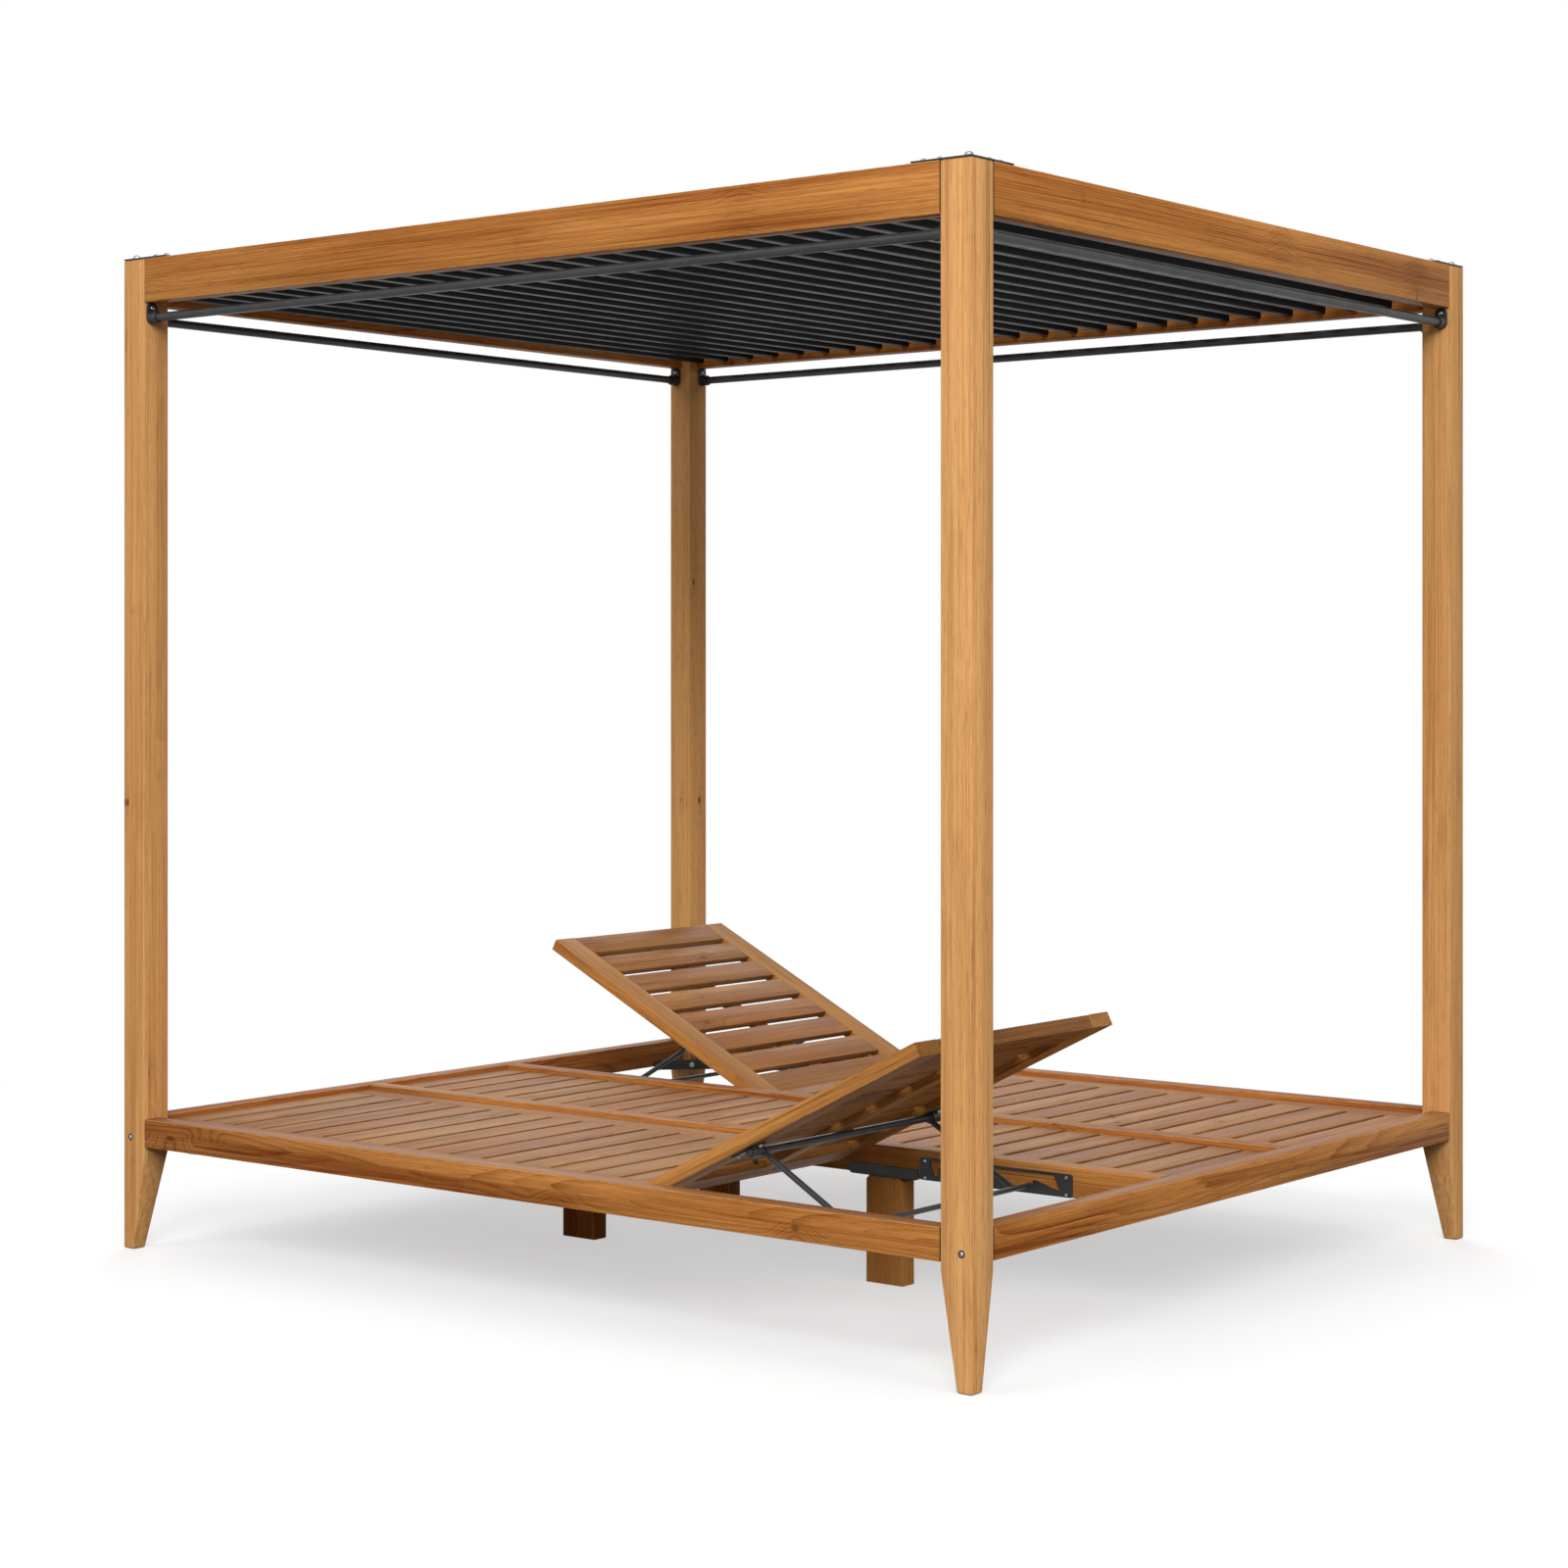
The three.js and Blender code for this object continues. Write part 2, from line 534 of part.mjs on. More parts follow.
// A bent steel strip across a deck corner, with a hanger bolt from the post and its nut.
function makeCornerBracket(name, sideX, sideY) {
  const faceX = BAY_END_X - FIT_GAP;
  const faceY = BAY_OUTER_Y - FIT_GAP;
  const farX = faceX - CORNER_BRACKET_REACH;
  const farY = faceY - CORNER_BRACKET_REACH;
  const sheet = BRACKET_SHEET;
  const corners = [
    [faceX, farY - CORNER_BRACKET_FLANGE],
    [faceX, farY],
    [farX, faceY],
    [farX - CORNER_BRACKET_FLANGE, faceY],
    [farX - CORNER_BRACKET_FLANGE, faceY - sheet],
    [farX - sheet, faceY - sheet],
    [faceX - sheet, farY - sheet],
    [faceX - sheet, farY - CORNER_BRACKET_FLANGE],
  ];
  const bottom = RAIL_BOTTOM - CORNER_BRACKET_BELOW_RAIL;
  const top = bottom + CORNER_BRACKET_HEIGHT;
  const strip = plate(outline(corners.map(([x, y]) => [sideX * x, sideY * y])), "z", bottom, top);
  const middle = new THREE.Vector3(
    sideX * (faceX + farX) * 0.5,
    sideY * (faceY + farY) * 0.5,
    (bottom + top) / 2,
  );
  const outward = new THREE.Vector3(sideX, sideY, 0).normalize();
  const postCorner = new THREE.Vector3(sideX * POST_INNER_X, sideY * POST_INNER_Y, middle.z);
  const reach = postCorner.clone().sub(middle).dot(outward) - FIT_GAP;
  const tail = -HANGER_NUT_HEIGHT - sheet;
  const bolt = alongDirection(HANGER_BOLT_RADIUS, middle, outward, tail, reach, SMALL_SIDES);
  const nut = alongDirection(HANGER_NUT_RADIUS, middle, outward, -HANGER_NUT_HEIGHT, 0, NUT_SIDES);
  return piece(name, join([strip, bolt, nut]), COATED_METAL);
}

// A round or six-sided bar along any direction, from one distance to another past a point.
function alongDirection(radius, point, direction, from, to, sides) {
  const geometry = new THREE.CylinderGeometry(radius, radius, to - from, sides);
  geometry.translate(0, (from + to) / 2, 0);
  const turn = new THREE.Quaternion().setFromUnitVectors(new THREE.Vector3(0, 1, 0), direction);
  geometry.applyQuaternion(turn);
  geometry.translate(point.x, point.y, point.z);
  return toSolid(geometry);
}

// Where a support board stands along X: all alike, but for the one at the back right.
function legCentre(sideX, sideY) {
  return sideX > 0 && sideY > 0 ? BACK_RIGHT_LEG_CENTRE_X : sideX * LEG_CENTRE_X;
}

// A support board under a divider, with its two upper corners cut off.
function makeSupportLeg(name, sideX, sideY) {
  const centre = legCentre(sideX, sideY);
  const half = LEG_WIDTH / 2;
  const top = RAIL_BOTTOM - FIT_GAP - BRACKET_SHEET - FIT_GAP;
  const shape = outline([
    [centre - half, 0],
    [centre + half, 0],
    [centre + half, top - LEG_CORNER_CUT],
    [centre + half - LEG_CORNER_CUT, top],
    [centre - half + LEG_CORNER_CUT, top],
    [centre - half, top - LEG_CORNER_CUT],
  ]);
  const outer = sideY * DIVIDER_OUTER_Y;
  const inner = sideY * (DIVIDER_OUTER_Y - LEG_THICKNESS);
  return piece(name, plate(shape, "y", Math.min(outer, inner), Math.max(outer, inner)), TEAK);
}

// A steel angle that screws a support board to its divider.
function makeLegAngle(name, sideX, sideY) {
  const centre = legCentre(sideX, sideY);
  const half = LEG_ANGLE_LENGTH / 2;
  const bottom = RAIL_BOTTOM - FIT_GAP - BRACKET_SHEET;
  const face = DIVIDER_OUTER_Y + FIT_GAP;
  const shape = outline([
    [sideY * (face + BRACKET_SHEET), bottom],
    [sideY * (face + BRACKET_SHEET), bottom + LEG_ANGLE_HEIGHT],
    [sideY * face, bottom + LEG_ANGLE_HEIGHT],
    [sideY * face, bottom + BRACKET_SHEET],
    [sideY * (face - LEG_ANGLE_DEPTH), bottom + BRACKET_SHEET],
    [sideY * (face - LEG_ANGLE_DEPTH), bottom],
  ]);
  return piece(name, plate(shape, "x", centre - half, centre + half), COATED_METAL);
}

// Slats across two stiles, with full-thickness end boards and a batten under the middle. It lies along X
// from start to end, is centred on y = 0, and has its top at the given height.
function slattedFrame(start, end, width, top, boardCount, gap) {
  const half = width / 2;
  const bottom = top - BOARD_THICKNESS;
  const boardWidth = (end - start - (boardCount - 1) * gap) / boardCount;
  const slatEnd = half - STILE_WIDTH + TENON_LENGTH;
  const solids = [
    block(start, end, -half, -half + STILE_WIDTH, bottom, top),
    block(start, end, half - STILE_WIDTH, half, bottom, top),
  ];
  for (let i = 0; i < boardCount; i += 1) {
    const x = start + i * (boardWidth + gap);
    const isEnd = i === 0 || i === boardCount - 1;
    const thickness = isEnd ? BOARD_THICKNESS : SLAT_THICKNESS;
    solids.push(block(x, x + boardWidth, -slatEnd, slatEnd, top - thickness, top));
  }
  const battenTop = top - SLAT_THICKNESS + BATTEN_HOUSING;
  const battenHalf = BATTEN_WIDTH / 2;
  const inset = boardWidth / 2;
  solids.push(block(start + inset, end - inset, -battenHalf, battenHalf, bottom, battenTop));
  return join(solids);
}

// The fixed seat of a lounge, notched round the post at its corner.
function makeSeatPanel(name) {
  const start = -BAY_END_X + FIT_GAP;
  const end = HINGE_X - BOARD_THICKNESS / 2 - HINGE_GAP;
  const frame = slattedFrame(start, end, LOUNGE_WIDTH - 2 * FIT_GAP, PANEL_TOP, SEAT_BOARD_COUNT, SLAT_GAP);
  const solid = frame.translate([0, -LOUNGE_CENTRE_Y, 0]);
  const notch = block(
    -HALF_LENGTH,
    -POST_INNER_X + FIT_GAP,
    -HALF_DEPTH,
    -POST_INNER_Y + FIT_GAP,
    RAIL_BOTTOM,
    RAIL_TOP,
  );
  return piece(name, solid.subtract(notch), TEAK_SLAT);
}

// Slats of the centre bay on two battens.
function makeCentrePanel() {
  const start = -BAY_END_X + FIT_GAP;
  const length = -2 * start;
  const halfDepth = DIVIDER_INNER_Y - FIT_GAP;
  const slatWidth = (length - (CENTRE_SLAT_COUNT - 1) * SLAT_GAP) / CENTRE_SLAT_COUNT;
  const slatBottom = PANEL_TOP - SLAT_THICKNESS;
  const solids = [];
  for (let i = 0; i < CENTRE_SLAT_COUNT; i += 1) {
    const x = start + i * (slatWidth + SLAT_GAP);
    solids.push(block(x, x + slatWidth, -halfDepth, halfDepth, slatBottom, PANEL_TOP));
  }
  for (const side of [-1, 1]) {
    const y = side * CENTRE_BATTEN_OFFSET;
    const half = BATTEN_WIDTH / 2;
    const top = slatBottom + BATTEN_HOUSING;
    solids.push(block(start, -start, y - half, y + half, top - CENTRE_BATTEN_THICKNESS, top));
  }
  return piece("centre_panel", join(solids), TEAK_SLAT);
}

// The backrest in its own frame: pivot axis along Y through the origin, board along +X when flat.
function makeBackrest(name) {
  const top = BOARD_THICKNESS / 2;
  const half = BACKREST_WIDTH / 2;
  const frame = slattedFrame(0, BACKREST_LENGTH, BACKREST_WIDTH, top, BACKREST_BOARD_COUNT, BACKREST_SLAT_GAP);
  const nose = bar("y", BOARD_THICKNESS / 2, -half, half, {});
  const bore = bar("y", PIVOT_ROD_RADIUS + PIVOT_CLEARANCE, -half - CUT_OVERRUN, half + CUT_OVERRUN, {});
  return piece(name, frame.add(nose).subtract(bore), TEAK_SLAT);
}

function makePivotRod(name) {
  const half = LOUNGE_WIDTH / 2 + PIVOT_ROD_SEAT_DEPTH - FIT_GAP;
  return piece(name, bar("y", PIVOT_ROD_RADIUS, -half, half, {}, SMALL_SIDES), COATED_METAL);
}

// A clamp under a stile that the stay's tube turns in, in the backrest's frame.
function makeStayBracket(name, side) {
  const y = side * STAY_BRACKET_Y;
  const half = STAY_BRACKET_WIDTH / 2;
  const underside = -BOARD_THICKNESS / 2 - FIT_GAP;
  const start = STAY_PIVOT_ALONG - STAY_BRACKET_LONG_END;
  const end = STAY_PIVOT_ALONG + STAY_BRACKET_SHORT_END;
  const flange = block(start, end, y - half, y + half, underside - BRACKET_SHEET, underside);
  const centre = { x: STAY_PIVOT_ALONG, z: -STAY_PIVOT_BELOW_AXIS };
  const eyeRadius = STAY_TUBE_RADIUS + PIVOT_CLEARANCE + STAY_BRACKET_WALL;
  const eye = bar("y", eyeRadius, y - half, y + half, centre);
  const neck = block(
    STAY_PIVOT_ALONG - eyeRadius,
    STAY_PIVOT_ALONG + eyeRadius,
    y - half,
    y + half,
    -STAY_PIVOT_BELOW_AXIS,
    underside,
  );
  const above = block(start, end, y - half - CUT_OVERRUN, y + half + CUT_OVERRUN, underside, BOARD_THICKNESS);
  const bore = bar(
    "y",
    STAY_TUBE_RADIUS + PIVOT_CLEARANCE,
    y - half - CUT_OVERRUN,
    y + half + CUT_OVERRUN,
    centre,
  );
  const screwInset = STAY_SCREW_RADIUS + BRACKET_SHEET;
  const down = new THREE.Vector3(0, 0, -1);
  const screws = [start + screwInset, end - screwInset].map((x) =>
    domeAt(STAY_SCREW_RADIUS, STAY_SCREW_HEIGHT, new THREE.Vector3(x, y, underside - BRACKET_SHEET), down),
  );
  const solid = join([flange, eye, neck, ...screws]).subtract(above).subtract(bore);
  return piece(name, solid, COATED_METAL);
}

// The stay in its own frame: tube along Y through the origin, struts along +X to the lower rod.
function makeStay(name) {
  const tubeHalf = STAY_BRACKET_Y + STAY_BRACKET_WIDTH / 2 + STAY_TUBE_OVERHANG;
  const strutY = STAY_BRACKET_Y - STAY_BRACKET_WIDTH / 2 - STAY_STRUT_GAP - STAY_STRUT_RADIUS;
  const rodHalf = LOUNGE_WIDTH / 2 - FIT_GAP - NOTCH_PLATE_THICKNESS - STAY_END_GAP;
  const solids = [
    bar("y", STAY_TUBE_RADIUS, -tubeHalf, tubeHalf, {}),
    bar("y", STAY_ROD_RADIUS, -rodHalf, rodHalf, { x: STAY_LENGTH }),
  ];
  for (const side of [-1, 1]) {
    solids.push(bar("x", STAY_STRUT_RADIUS, 0, STAY_LENGTH, { y: side * strutY }, SMALL_SIDES));
  }
  return piece(name, join(solids), COATED_METAL);
}

// The hooked left end of a notched plate's window, from its top to its floor, as shares of the hook's
// reach and of the window's height.
const HOOK_SHARES = [
  [0, 1],
  [0.12, 0.72],
  [0.34, 0.46],
  [0.72, 0.24],
  [1, 0],
];

// A plate whose window has teeth that catch the stay's lower rod, in the lounge's frame. It lies on a
// face at the given y and stands out from it towards the given side.
function makeNotchPlate(name, faceY, towards) {
  const bottom = RAIL_BOTTOM;
  const top = bottom + NOTCH_PLATE_HEIGHT;
  const windowTop = top - NOTCH_TOP_BAR;
  const near = faceY + towards * FIT_GAP;
  const far = near + towards * NOTCH_PLATE_THICKNESS;
  const left = NOTCH_PLATE_LEFT_X;
  const right = NOTCH_PLATE_RIGHT_X;
  const cut = NOTCH_PLATE_CORNER_CUT;
  const edge = outline([
    [left, bottom],
    [right - cut, bottom],
    [right, bottom + cut],
    [right, top - cut],
    [right - cut, top],
    [left + cut, top],
    [left, top - cut],
  ]);
  const sheet = plate(edge, "y", Math.min(near, far), Math.max(near, far));
  const points = HOOK_SHARES.map(([reachShare, heightShare]) => [
    WINDOW_LEFT_X + reachShare * NOTCH_HOOK_REACH,
    NOTCH_FLOOR_Z + heightShare * (windowTop - NOTCH_FLOOR_Z),
  ]);
  for (let i = 0; i < NOTCH_COUNT; i += 1) {
    const face = FIRST_TOOTH_X + i * NOTCH_PITCH;
    points.push([face, NOTCH_FLOOR_Z]);
    points.push([face, NOTCH_FLOOR_Z + NOTCH_TOOTH_RISE - NOTCH_TOOTH_BLUNTING]);
    points.push([face + NOTCH_TOOTH_BLUNTING, NOTCH_FLOOR_Z + NOTCH_TOOTH_RISE]);
    points.push([Math.min(face + NOTCH_TOOTH_LENGTH, WINDOW_RIGHT_X), NOTCH_FLOOR_Z]);
  }
  points.push([WINDOW_RIGHT_X, NOTCH_FLOOR_Z]);
  points.push([WINDOW_RIGHT_X - NOTCH_WINDOW_SLANT, windowTop]);
  const unique = points.filter(([x, z], i) => i === 0 || x !== points[i - 1][0] || z !== points[i - 1][1]);
  const cutFrom = Math.min(near, far) - CUT_OVERRUN;
  const cutTo = Math.max(near, far) + CUT_OVERRUN;
  const window = plate(outline(unique), "y", cutFrom, cutTo);
  const leftScrew = NOTCH_PLATE_LEFT_X + NOTCH_PLATE_LEFT_BAR / 2;
  const rightScrew = NOTCH_PLATE_RIGHT_X - NOTCH_PLATE_RIGHT_BAR / 2;
  const highScrew = top - 2 * NOTCH_SCREW_RADIUS;
  const lowScrew = bottom + NOTCH_FLOOR_BAR / 2;
  const screws = [
    [leftScrew, highScrew],
    [leftScrew, lowScrew],
    [rightScrew, highScrew],
    [rightScrew, lowScrew],
    [FIRST_TOOTH_X + NOTCH_TOOTH_LENGTH, lowScrew],
    [FIRST_TOOTH_X + NOTCH_PITCH + NOTCH_TOOTH_LENGTH, lowScrew],
  ];
  const outward = new THREE.Vector3(0, towards, 0);
  const heads = screws.map(([x, z]) =>
    domeAt(NOTCH_SCREW_RADIUS, NOTCH_SCREW_HEIGHT, new THREE.Vector3(x, far, z), outward),
  );
  return piece(name, join([sheet.subtract(window), ...heads]), COATED_METAL);
}

// One lounge with its backrest raised at the +X end, in the front bay.
function makeLounge(side) {
  const lounge = new THREE.Group();
  lounge.add(makeSeatPanel(`seat_panel_${side}`));

  const hinge = new THREE.Group();
  hinge.position.set(HINGE_X, -LOUNGE_CENTRE_Y, HINGE_Z);
  hinge.add(makePivotRod(`pivot_rod_${side}`));
  lounge.add(hinge);

  const raised = new THREE.Group();
  raised.rotation.y = -BACKREST_ANGLE;
  raised.add(makeBackrest(`backrest_${side}`));
  raised.add(makeStayBracket(`stay_bracket_${side}_outer`, -1));
  raised.add(makeStayBracket(`stay_bracket_${side}_inner`, 1));
  hinge.add(raised);

  const stay = makeStay(`stay_${side}`);
  stay.position.set(STAY_PIVOT_X, -LOUNGE_CENTRE_Y, STAY_PIVOT_Z);
  stay.rotation.y = STAY_ANGLE;
  lounge.add(stay);

  lounge.add(makeNotchPlate(`notch_plate_${side}_outer`, -BAY_OUTER_Y, 1));
  lounge.add(makeNotchPlate(`notch_plate_${side}_inner`, -DIVIDER_OUTER_Y, -1));
  return lounge;
}

const CORNERS = [
  { name: "front_right", sideX: 1, sideY: -1 },
  { name: "front_left", sideX: -1, sideY: -1 },
  { name: "back_right", sideX: 1, sideY: 1 },
  { name: "back_left", sideX: -1, sideY: 1 },
];

function makeDaybed() {
  const daybed = new THREE.Group();
  for (const { name, sideX, sideY } of CORNERS) {
    daybed.add(makePost(`post_${name}`, sideX, sideY));
    daybed.add(makeCornerPlate(`corner_plate_${name}`, sideX, sideY));
    daybed.add(makeCornerBracket(`corner_bracket_${name}`, sideX, sideY));
    daybed.add(makeSupportLeg(`support_leg_${name}`, sideX, sideY));
    daybed.add(makeLegAngle(`leg_angle_${name}`, sideX, sideY));
  }
  for (const [name, side] of [["front", -1], ["back", 1]]) {
    daybed.add(makeBeamAlongX(`beam_${name}`, side));
    daybed.add(makeRailAlongX(`rail_${name}`, side));
    daybed.add(makeDivider(`divider_${name}`, side));
  }
  for (const [name, side] of [["left", -1], ["right", 1]]) {
    daybed.add(makeBeamAlongY(`beam_${name}`, side));
    daybed.add(makeRailAlongY(`rail_${name}`, side));
  }
  daybed.add(makeLouvreBank());
  for (const run of ROD_RUNS) {
    daybed.add(makeCurtainRod(run));
    const ends = run.axis === "x" ? ["left", "right"] : ["front", "back"];
    daybed.add(makeRodBracket(run, -1, ends[0]));
    daybed.add(makeRodBracket(run, 1, ends[1]));
  }
  daybed.add(makeCentrePanel());
  daybed.add(makeLounge("front"));
  const backLounge = makeLounge("back");
  backLounge.rotation.z = Math.PI;
  daybed.add(backLounge);
  return daybed;
}

export default makeDaybed();
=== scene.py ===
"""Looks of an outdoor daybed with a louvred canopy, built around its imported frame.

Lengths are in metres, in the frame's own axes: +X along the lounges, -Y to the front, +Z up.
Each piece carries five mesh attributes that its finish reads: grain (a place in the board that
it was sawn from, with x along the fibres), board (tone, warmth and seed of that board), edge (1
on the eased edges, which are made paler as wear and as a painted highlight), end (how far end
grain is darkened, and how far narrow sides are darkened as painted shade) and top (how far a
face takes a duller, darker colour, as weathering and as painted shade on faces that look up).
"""

from __future__ import annotations

import json
import logging
import math
import random
from dataclasses import dataclass, field
from enum import Enum
from typing import Iterable, Sequence

import bmesh
import bpy
from mathutils import Matrix, Vector

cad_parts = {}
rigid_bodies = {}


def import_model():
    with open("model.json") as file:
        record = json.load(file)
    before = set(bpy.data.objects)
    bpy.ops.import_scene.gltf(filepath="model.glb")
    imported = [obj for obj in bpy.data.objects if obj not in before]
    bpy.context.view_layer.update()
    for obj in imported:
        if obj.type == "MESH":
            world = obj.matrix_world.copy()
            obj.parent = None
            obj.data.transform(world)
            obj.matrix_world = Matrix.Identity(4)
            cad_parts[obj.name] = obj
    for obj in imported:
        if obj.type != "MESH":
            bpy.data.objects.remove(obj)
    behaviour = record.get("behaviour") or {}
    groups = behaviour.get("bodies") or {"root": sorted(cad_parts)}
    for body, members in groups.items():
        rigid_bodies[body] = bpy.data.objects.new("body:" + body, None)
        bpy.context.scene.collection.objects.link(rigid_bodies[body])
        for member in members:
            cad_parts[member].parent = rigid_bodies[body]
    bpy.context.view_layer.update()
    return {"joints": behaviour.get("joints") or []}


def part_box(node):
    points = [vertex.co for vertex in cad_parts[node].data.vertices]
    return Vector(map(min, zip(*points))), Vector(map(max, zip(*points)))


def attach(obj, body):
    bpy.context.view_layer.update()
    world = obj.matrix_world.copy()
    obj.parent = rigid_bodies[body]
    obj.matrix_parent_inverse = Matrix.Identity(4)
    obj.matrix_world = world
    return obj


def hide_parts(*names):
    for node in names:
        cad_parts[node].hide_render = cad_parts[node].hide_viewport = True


LOG = logging.getLogger("daybed")
SEED = 20517
FRAME_BODY = "frame"
FLAT_SHADE_ANGLE = math.radians(24)
RIM_ANGLE = math.radians(60)
# A face whose area is less than this many metres times its perimeter is an edge.
NARROW_FACE = 0.0011
# The cosines at which a face counts as end grain, and as one that faces up or down.
END_GRAIN, LEVEL = 0.3, 0.6
# How fast end grain gets its full darkness as a face turns across the fibres.
END_GAIN = 1.3
# End grain's own darkness, and the painted shade on the narrow sides of thin and thick slats, for
# the shade in the gaps between them.
END_DARKNESS, PAINTED_FLANK_SHADE, PAINTED_THICK_FLANK_SHADE = 0.25, 0.22, 0.15
# How far the narrow sides of slats take the duller, darker colour, as more painted shade.
PAINTED_FLANK_WEATHERING = 0.8
# The largest share of a box's least size that its eased edges take.
EASE_SHARE = 0.45
# What a board's place in the trunk, its tilt, its tone and its warmth are drawn from.
TRUNK_LENGTH, PITH_REACH, TILT = 40.0, (0.05, 0.14), 0.4
TONE_REACH, WARMTH_REACH = 0.75, 0.5
SHEET = 0.003
SHEET_EASE = 0.0006
TUBE_SIDES, BAR_SIDES, ROD_SIDES, HEAD_SIDES = 40, 32, 24, 48

Point = tuple[float, float, float]
Pair = tuple[float, float]
Outline = list[Pair]
Socket = bpy.types.NodeSocket
Node = bpy.types.Node
Part = bmesh.types.BMesh
Value = float | Socket
Kinds = dict[str, str]

X_AXIS, Y_AXIS, UP, DOWN = (1, 0, 0), (0, 1, 0), (0, 0, 1), (0, 0, -1)
ORIGIN = (0.0, 0.0, 0.0)
WHITE = (1.0, 1.0, 1.0, 1.0)
# Turns an outline in X and Y upright, with its Y up and its depth to the front.
UPRIGHT = Matrix.Rotation(math.pi / 2, 4, "X")
# Makes the matrix that moves a piece.
shift = Matrix.Translation
FLOAT, VECTOR, COLOR = "NodeSocketFloat", "NodeSocketVector", "NodeSocketColor"


class Slot(Enum):
    """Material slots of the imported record."""

    TEAK = "teak"
    TEAK_SLAT = "teak_slat"
    COATED_METAL = "coated_metal"


class Side(Enum):
    """The two lounges; the back one is the front one turned half round."""

    FRONT = "front"
    BACK = "back"

    @property
    def turn(self) -> Matrix:
        """The matrix that takes the front lounge to this one."""
        return Matrix.Rotation(0.0 if self is Side.FRONT else math.pi, 4, "Z")


class Drive(Enum):
    """The recess in a screw's head."""

    HEX = "hex"
    CROSS = "cross"


def linear(code: str) -> tuple[float, float, float, float]:
    """Turns a colour code into linear light.

    Args:
        code: Six hexadecimal digits, as on a colour chart.

    Returns:
        Red, green, blue and alpha for a shader's socket.
    """
    shades = [int(code[i : i + 2], 16) / 255 for i in (0, 2, 4)]
    light = [s / 12.92 if s <= 0.04045 else ((s + 0.055) / 1.055) ** 2.4 for s in shades]
    return (*light, 1.0)


# Shader tools


class Bench:
    """Places and links the nodes of one shader tree."""

    step: Pair = (220.0, 260.0)
    row: int = 9
    # The numbers of a colour Mix node's two inputs and of its output.
    mixed: tuple[int, int, int] = (6, 7, 2)

    def __init__(self, tree: bpy.types.NodeTree) -> None:
        """Starts with an empty tree."""
        self.tree = tree
        tree.nodes.clear()

    def add(self, kind: str, values: dict | None = None, **settings: object) -> Node:
        """Adds one node.

        Args:
            kind: The node's type, without its ShaderNode prefix.
            values: Input name or number to a constant or to the socket that feeds it.
            **settings: Properties of the node.

        Returns:
            The new node.
        """
        node = self.tree.nodes.new(("" if kind.startswith("Node") else "ShaderNode") + kind)
        down, along = divmod(len(self.tree.nodes), self.row)
        node.location = (self.step[0] * along, -self.step[1] * down)
        for key, value in settings.items():
            setattr(node, key, value)
        self.wire(node, values or {})
        return node

    def wire(self, node: Node, values: dict) -> None:
        """Links or sets a node's inputs.

        Args:
            node: The node.
            values: Input name or number to a constant or to the socket that feeds it.
        """
        for key, value in values.items():
            if isinstance(value, Socket):
                self.tree.links.new(value, node.inputs[key])
            else:
                node.inputs[key].default_value = value

    def math(self, operation: str, *operands: Value, clamp: bool = False) -> Socket:
        """Adds a Math node and returns its result."""
        node = self.add("Math", dict(enumerate(operands)), operation=operation, use_clamp=clamp)
        return node.outputs[0]

    def pile(self, total: Socket, *parts: tuple[Socket, Value]) -> Socket:
        """Adds parts to a total, each multiplied by its share.

        Args:
            total: What the parts are added to.
            *parts: Pairs of a part and its share.

        Returns:
            The sum.
        """
        for part, share in parts:
            total = self.math("ADD", total, self.math("MULTIPLY", part, share))
        return total

    def vector(self, operation: str, *operands: Sequence[float] | Socket) -> Socket:
        """Adds a Vector Math node and returns its result."""
        node = self.add("VectorMath", dict(enumerate(operands)), operation=operation)
        return node.outputs["Value" if operation == "LENGTH" else "Vector"]

    def split(self, vector: Socket) -> list[Socket]:
        """Adds a Separate XYZ node and returns its three parts."""
        return list(self.add("SeparateXYZ", {0: vector}).outputs)

    def join(self, *parts: Value) -> Socket:
        """Adds a Combine XYZ node and returns its vector."""
        return self.add("CombineXYZ", dict(enumerate(parts))).outputs[0]

    def remap(
        self, value: Socket, low: float, high: float, to_low: float = 0.0, to_high: float = 1.0
    ) -> Socket:
        """Adds a smooth Map Range node and returns its result."""
        values = {0: value, 1: low, 2: high, 3: to_low, 4: to_high}
        return self.add("MapRange", values, interpolation_type="SMOOTHSTEP").outputs[0]

    def mix(self, share: Value, first: object, second: object, blend: str = "MIX") -> Socket:
        """Adds a colour Mix node.

        Args:
            share: The second colour's share.
            first: The first colour.
            second: The second colour.
            blend: How they are mixed.

        Returns:
            The mixed colour.
        """
        one, two, result = self.mixed
        values = {0: share, one: first, two: second}
        node = self.add("Mix", values, data_type="RGBA", blend_type=blend, clamp_factor=True)
        return node.outputs[result]

    def attribute(self, name: str, output: str = "Fac") -> Socket:
        """Adds an Attribute node for a mesh attribute and returns one of its outputs."""
        return self.add("Attribute", attribute_name=name).outputs[output]

    def surface(self, values: dict) -> None:
        """Adds the Principled shader with its inputs, and the material's output."""
        self.add("OutputMaterial", {"Surface": self.add("BsdfPrincipled", values).outputs["BSDF"]})


def new_material(name: str) -> tuple[bpy.types.Material, Bench]:
    """Starts a material.

    Args:
        name: The material's name.

    Returns:
        The material and the bench of its empty tree.
    """
    material = bpy.data.materials.new(name)
    material.use_nodes = True
    return material, Bench(material.node_tree)


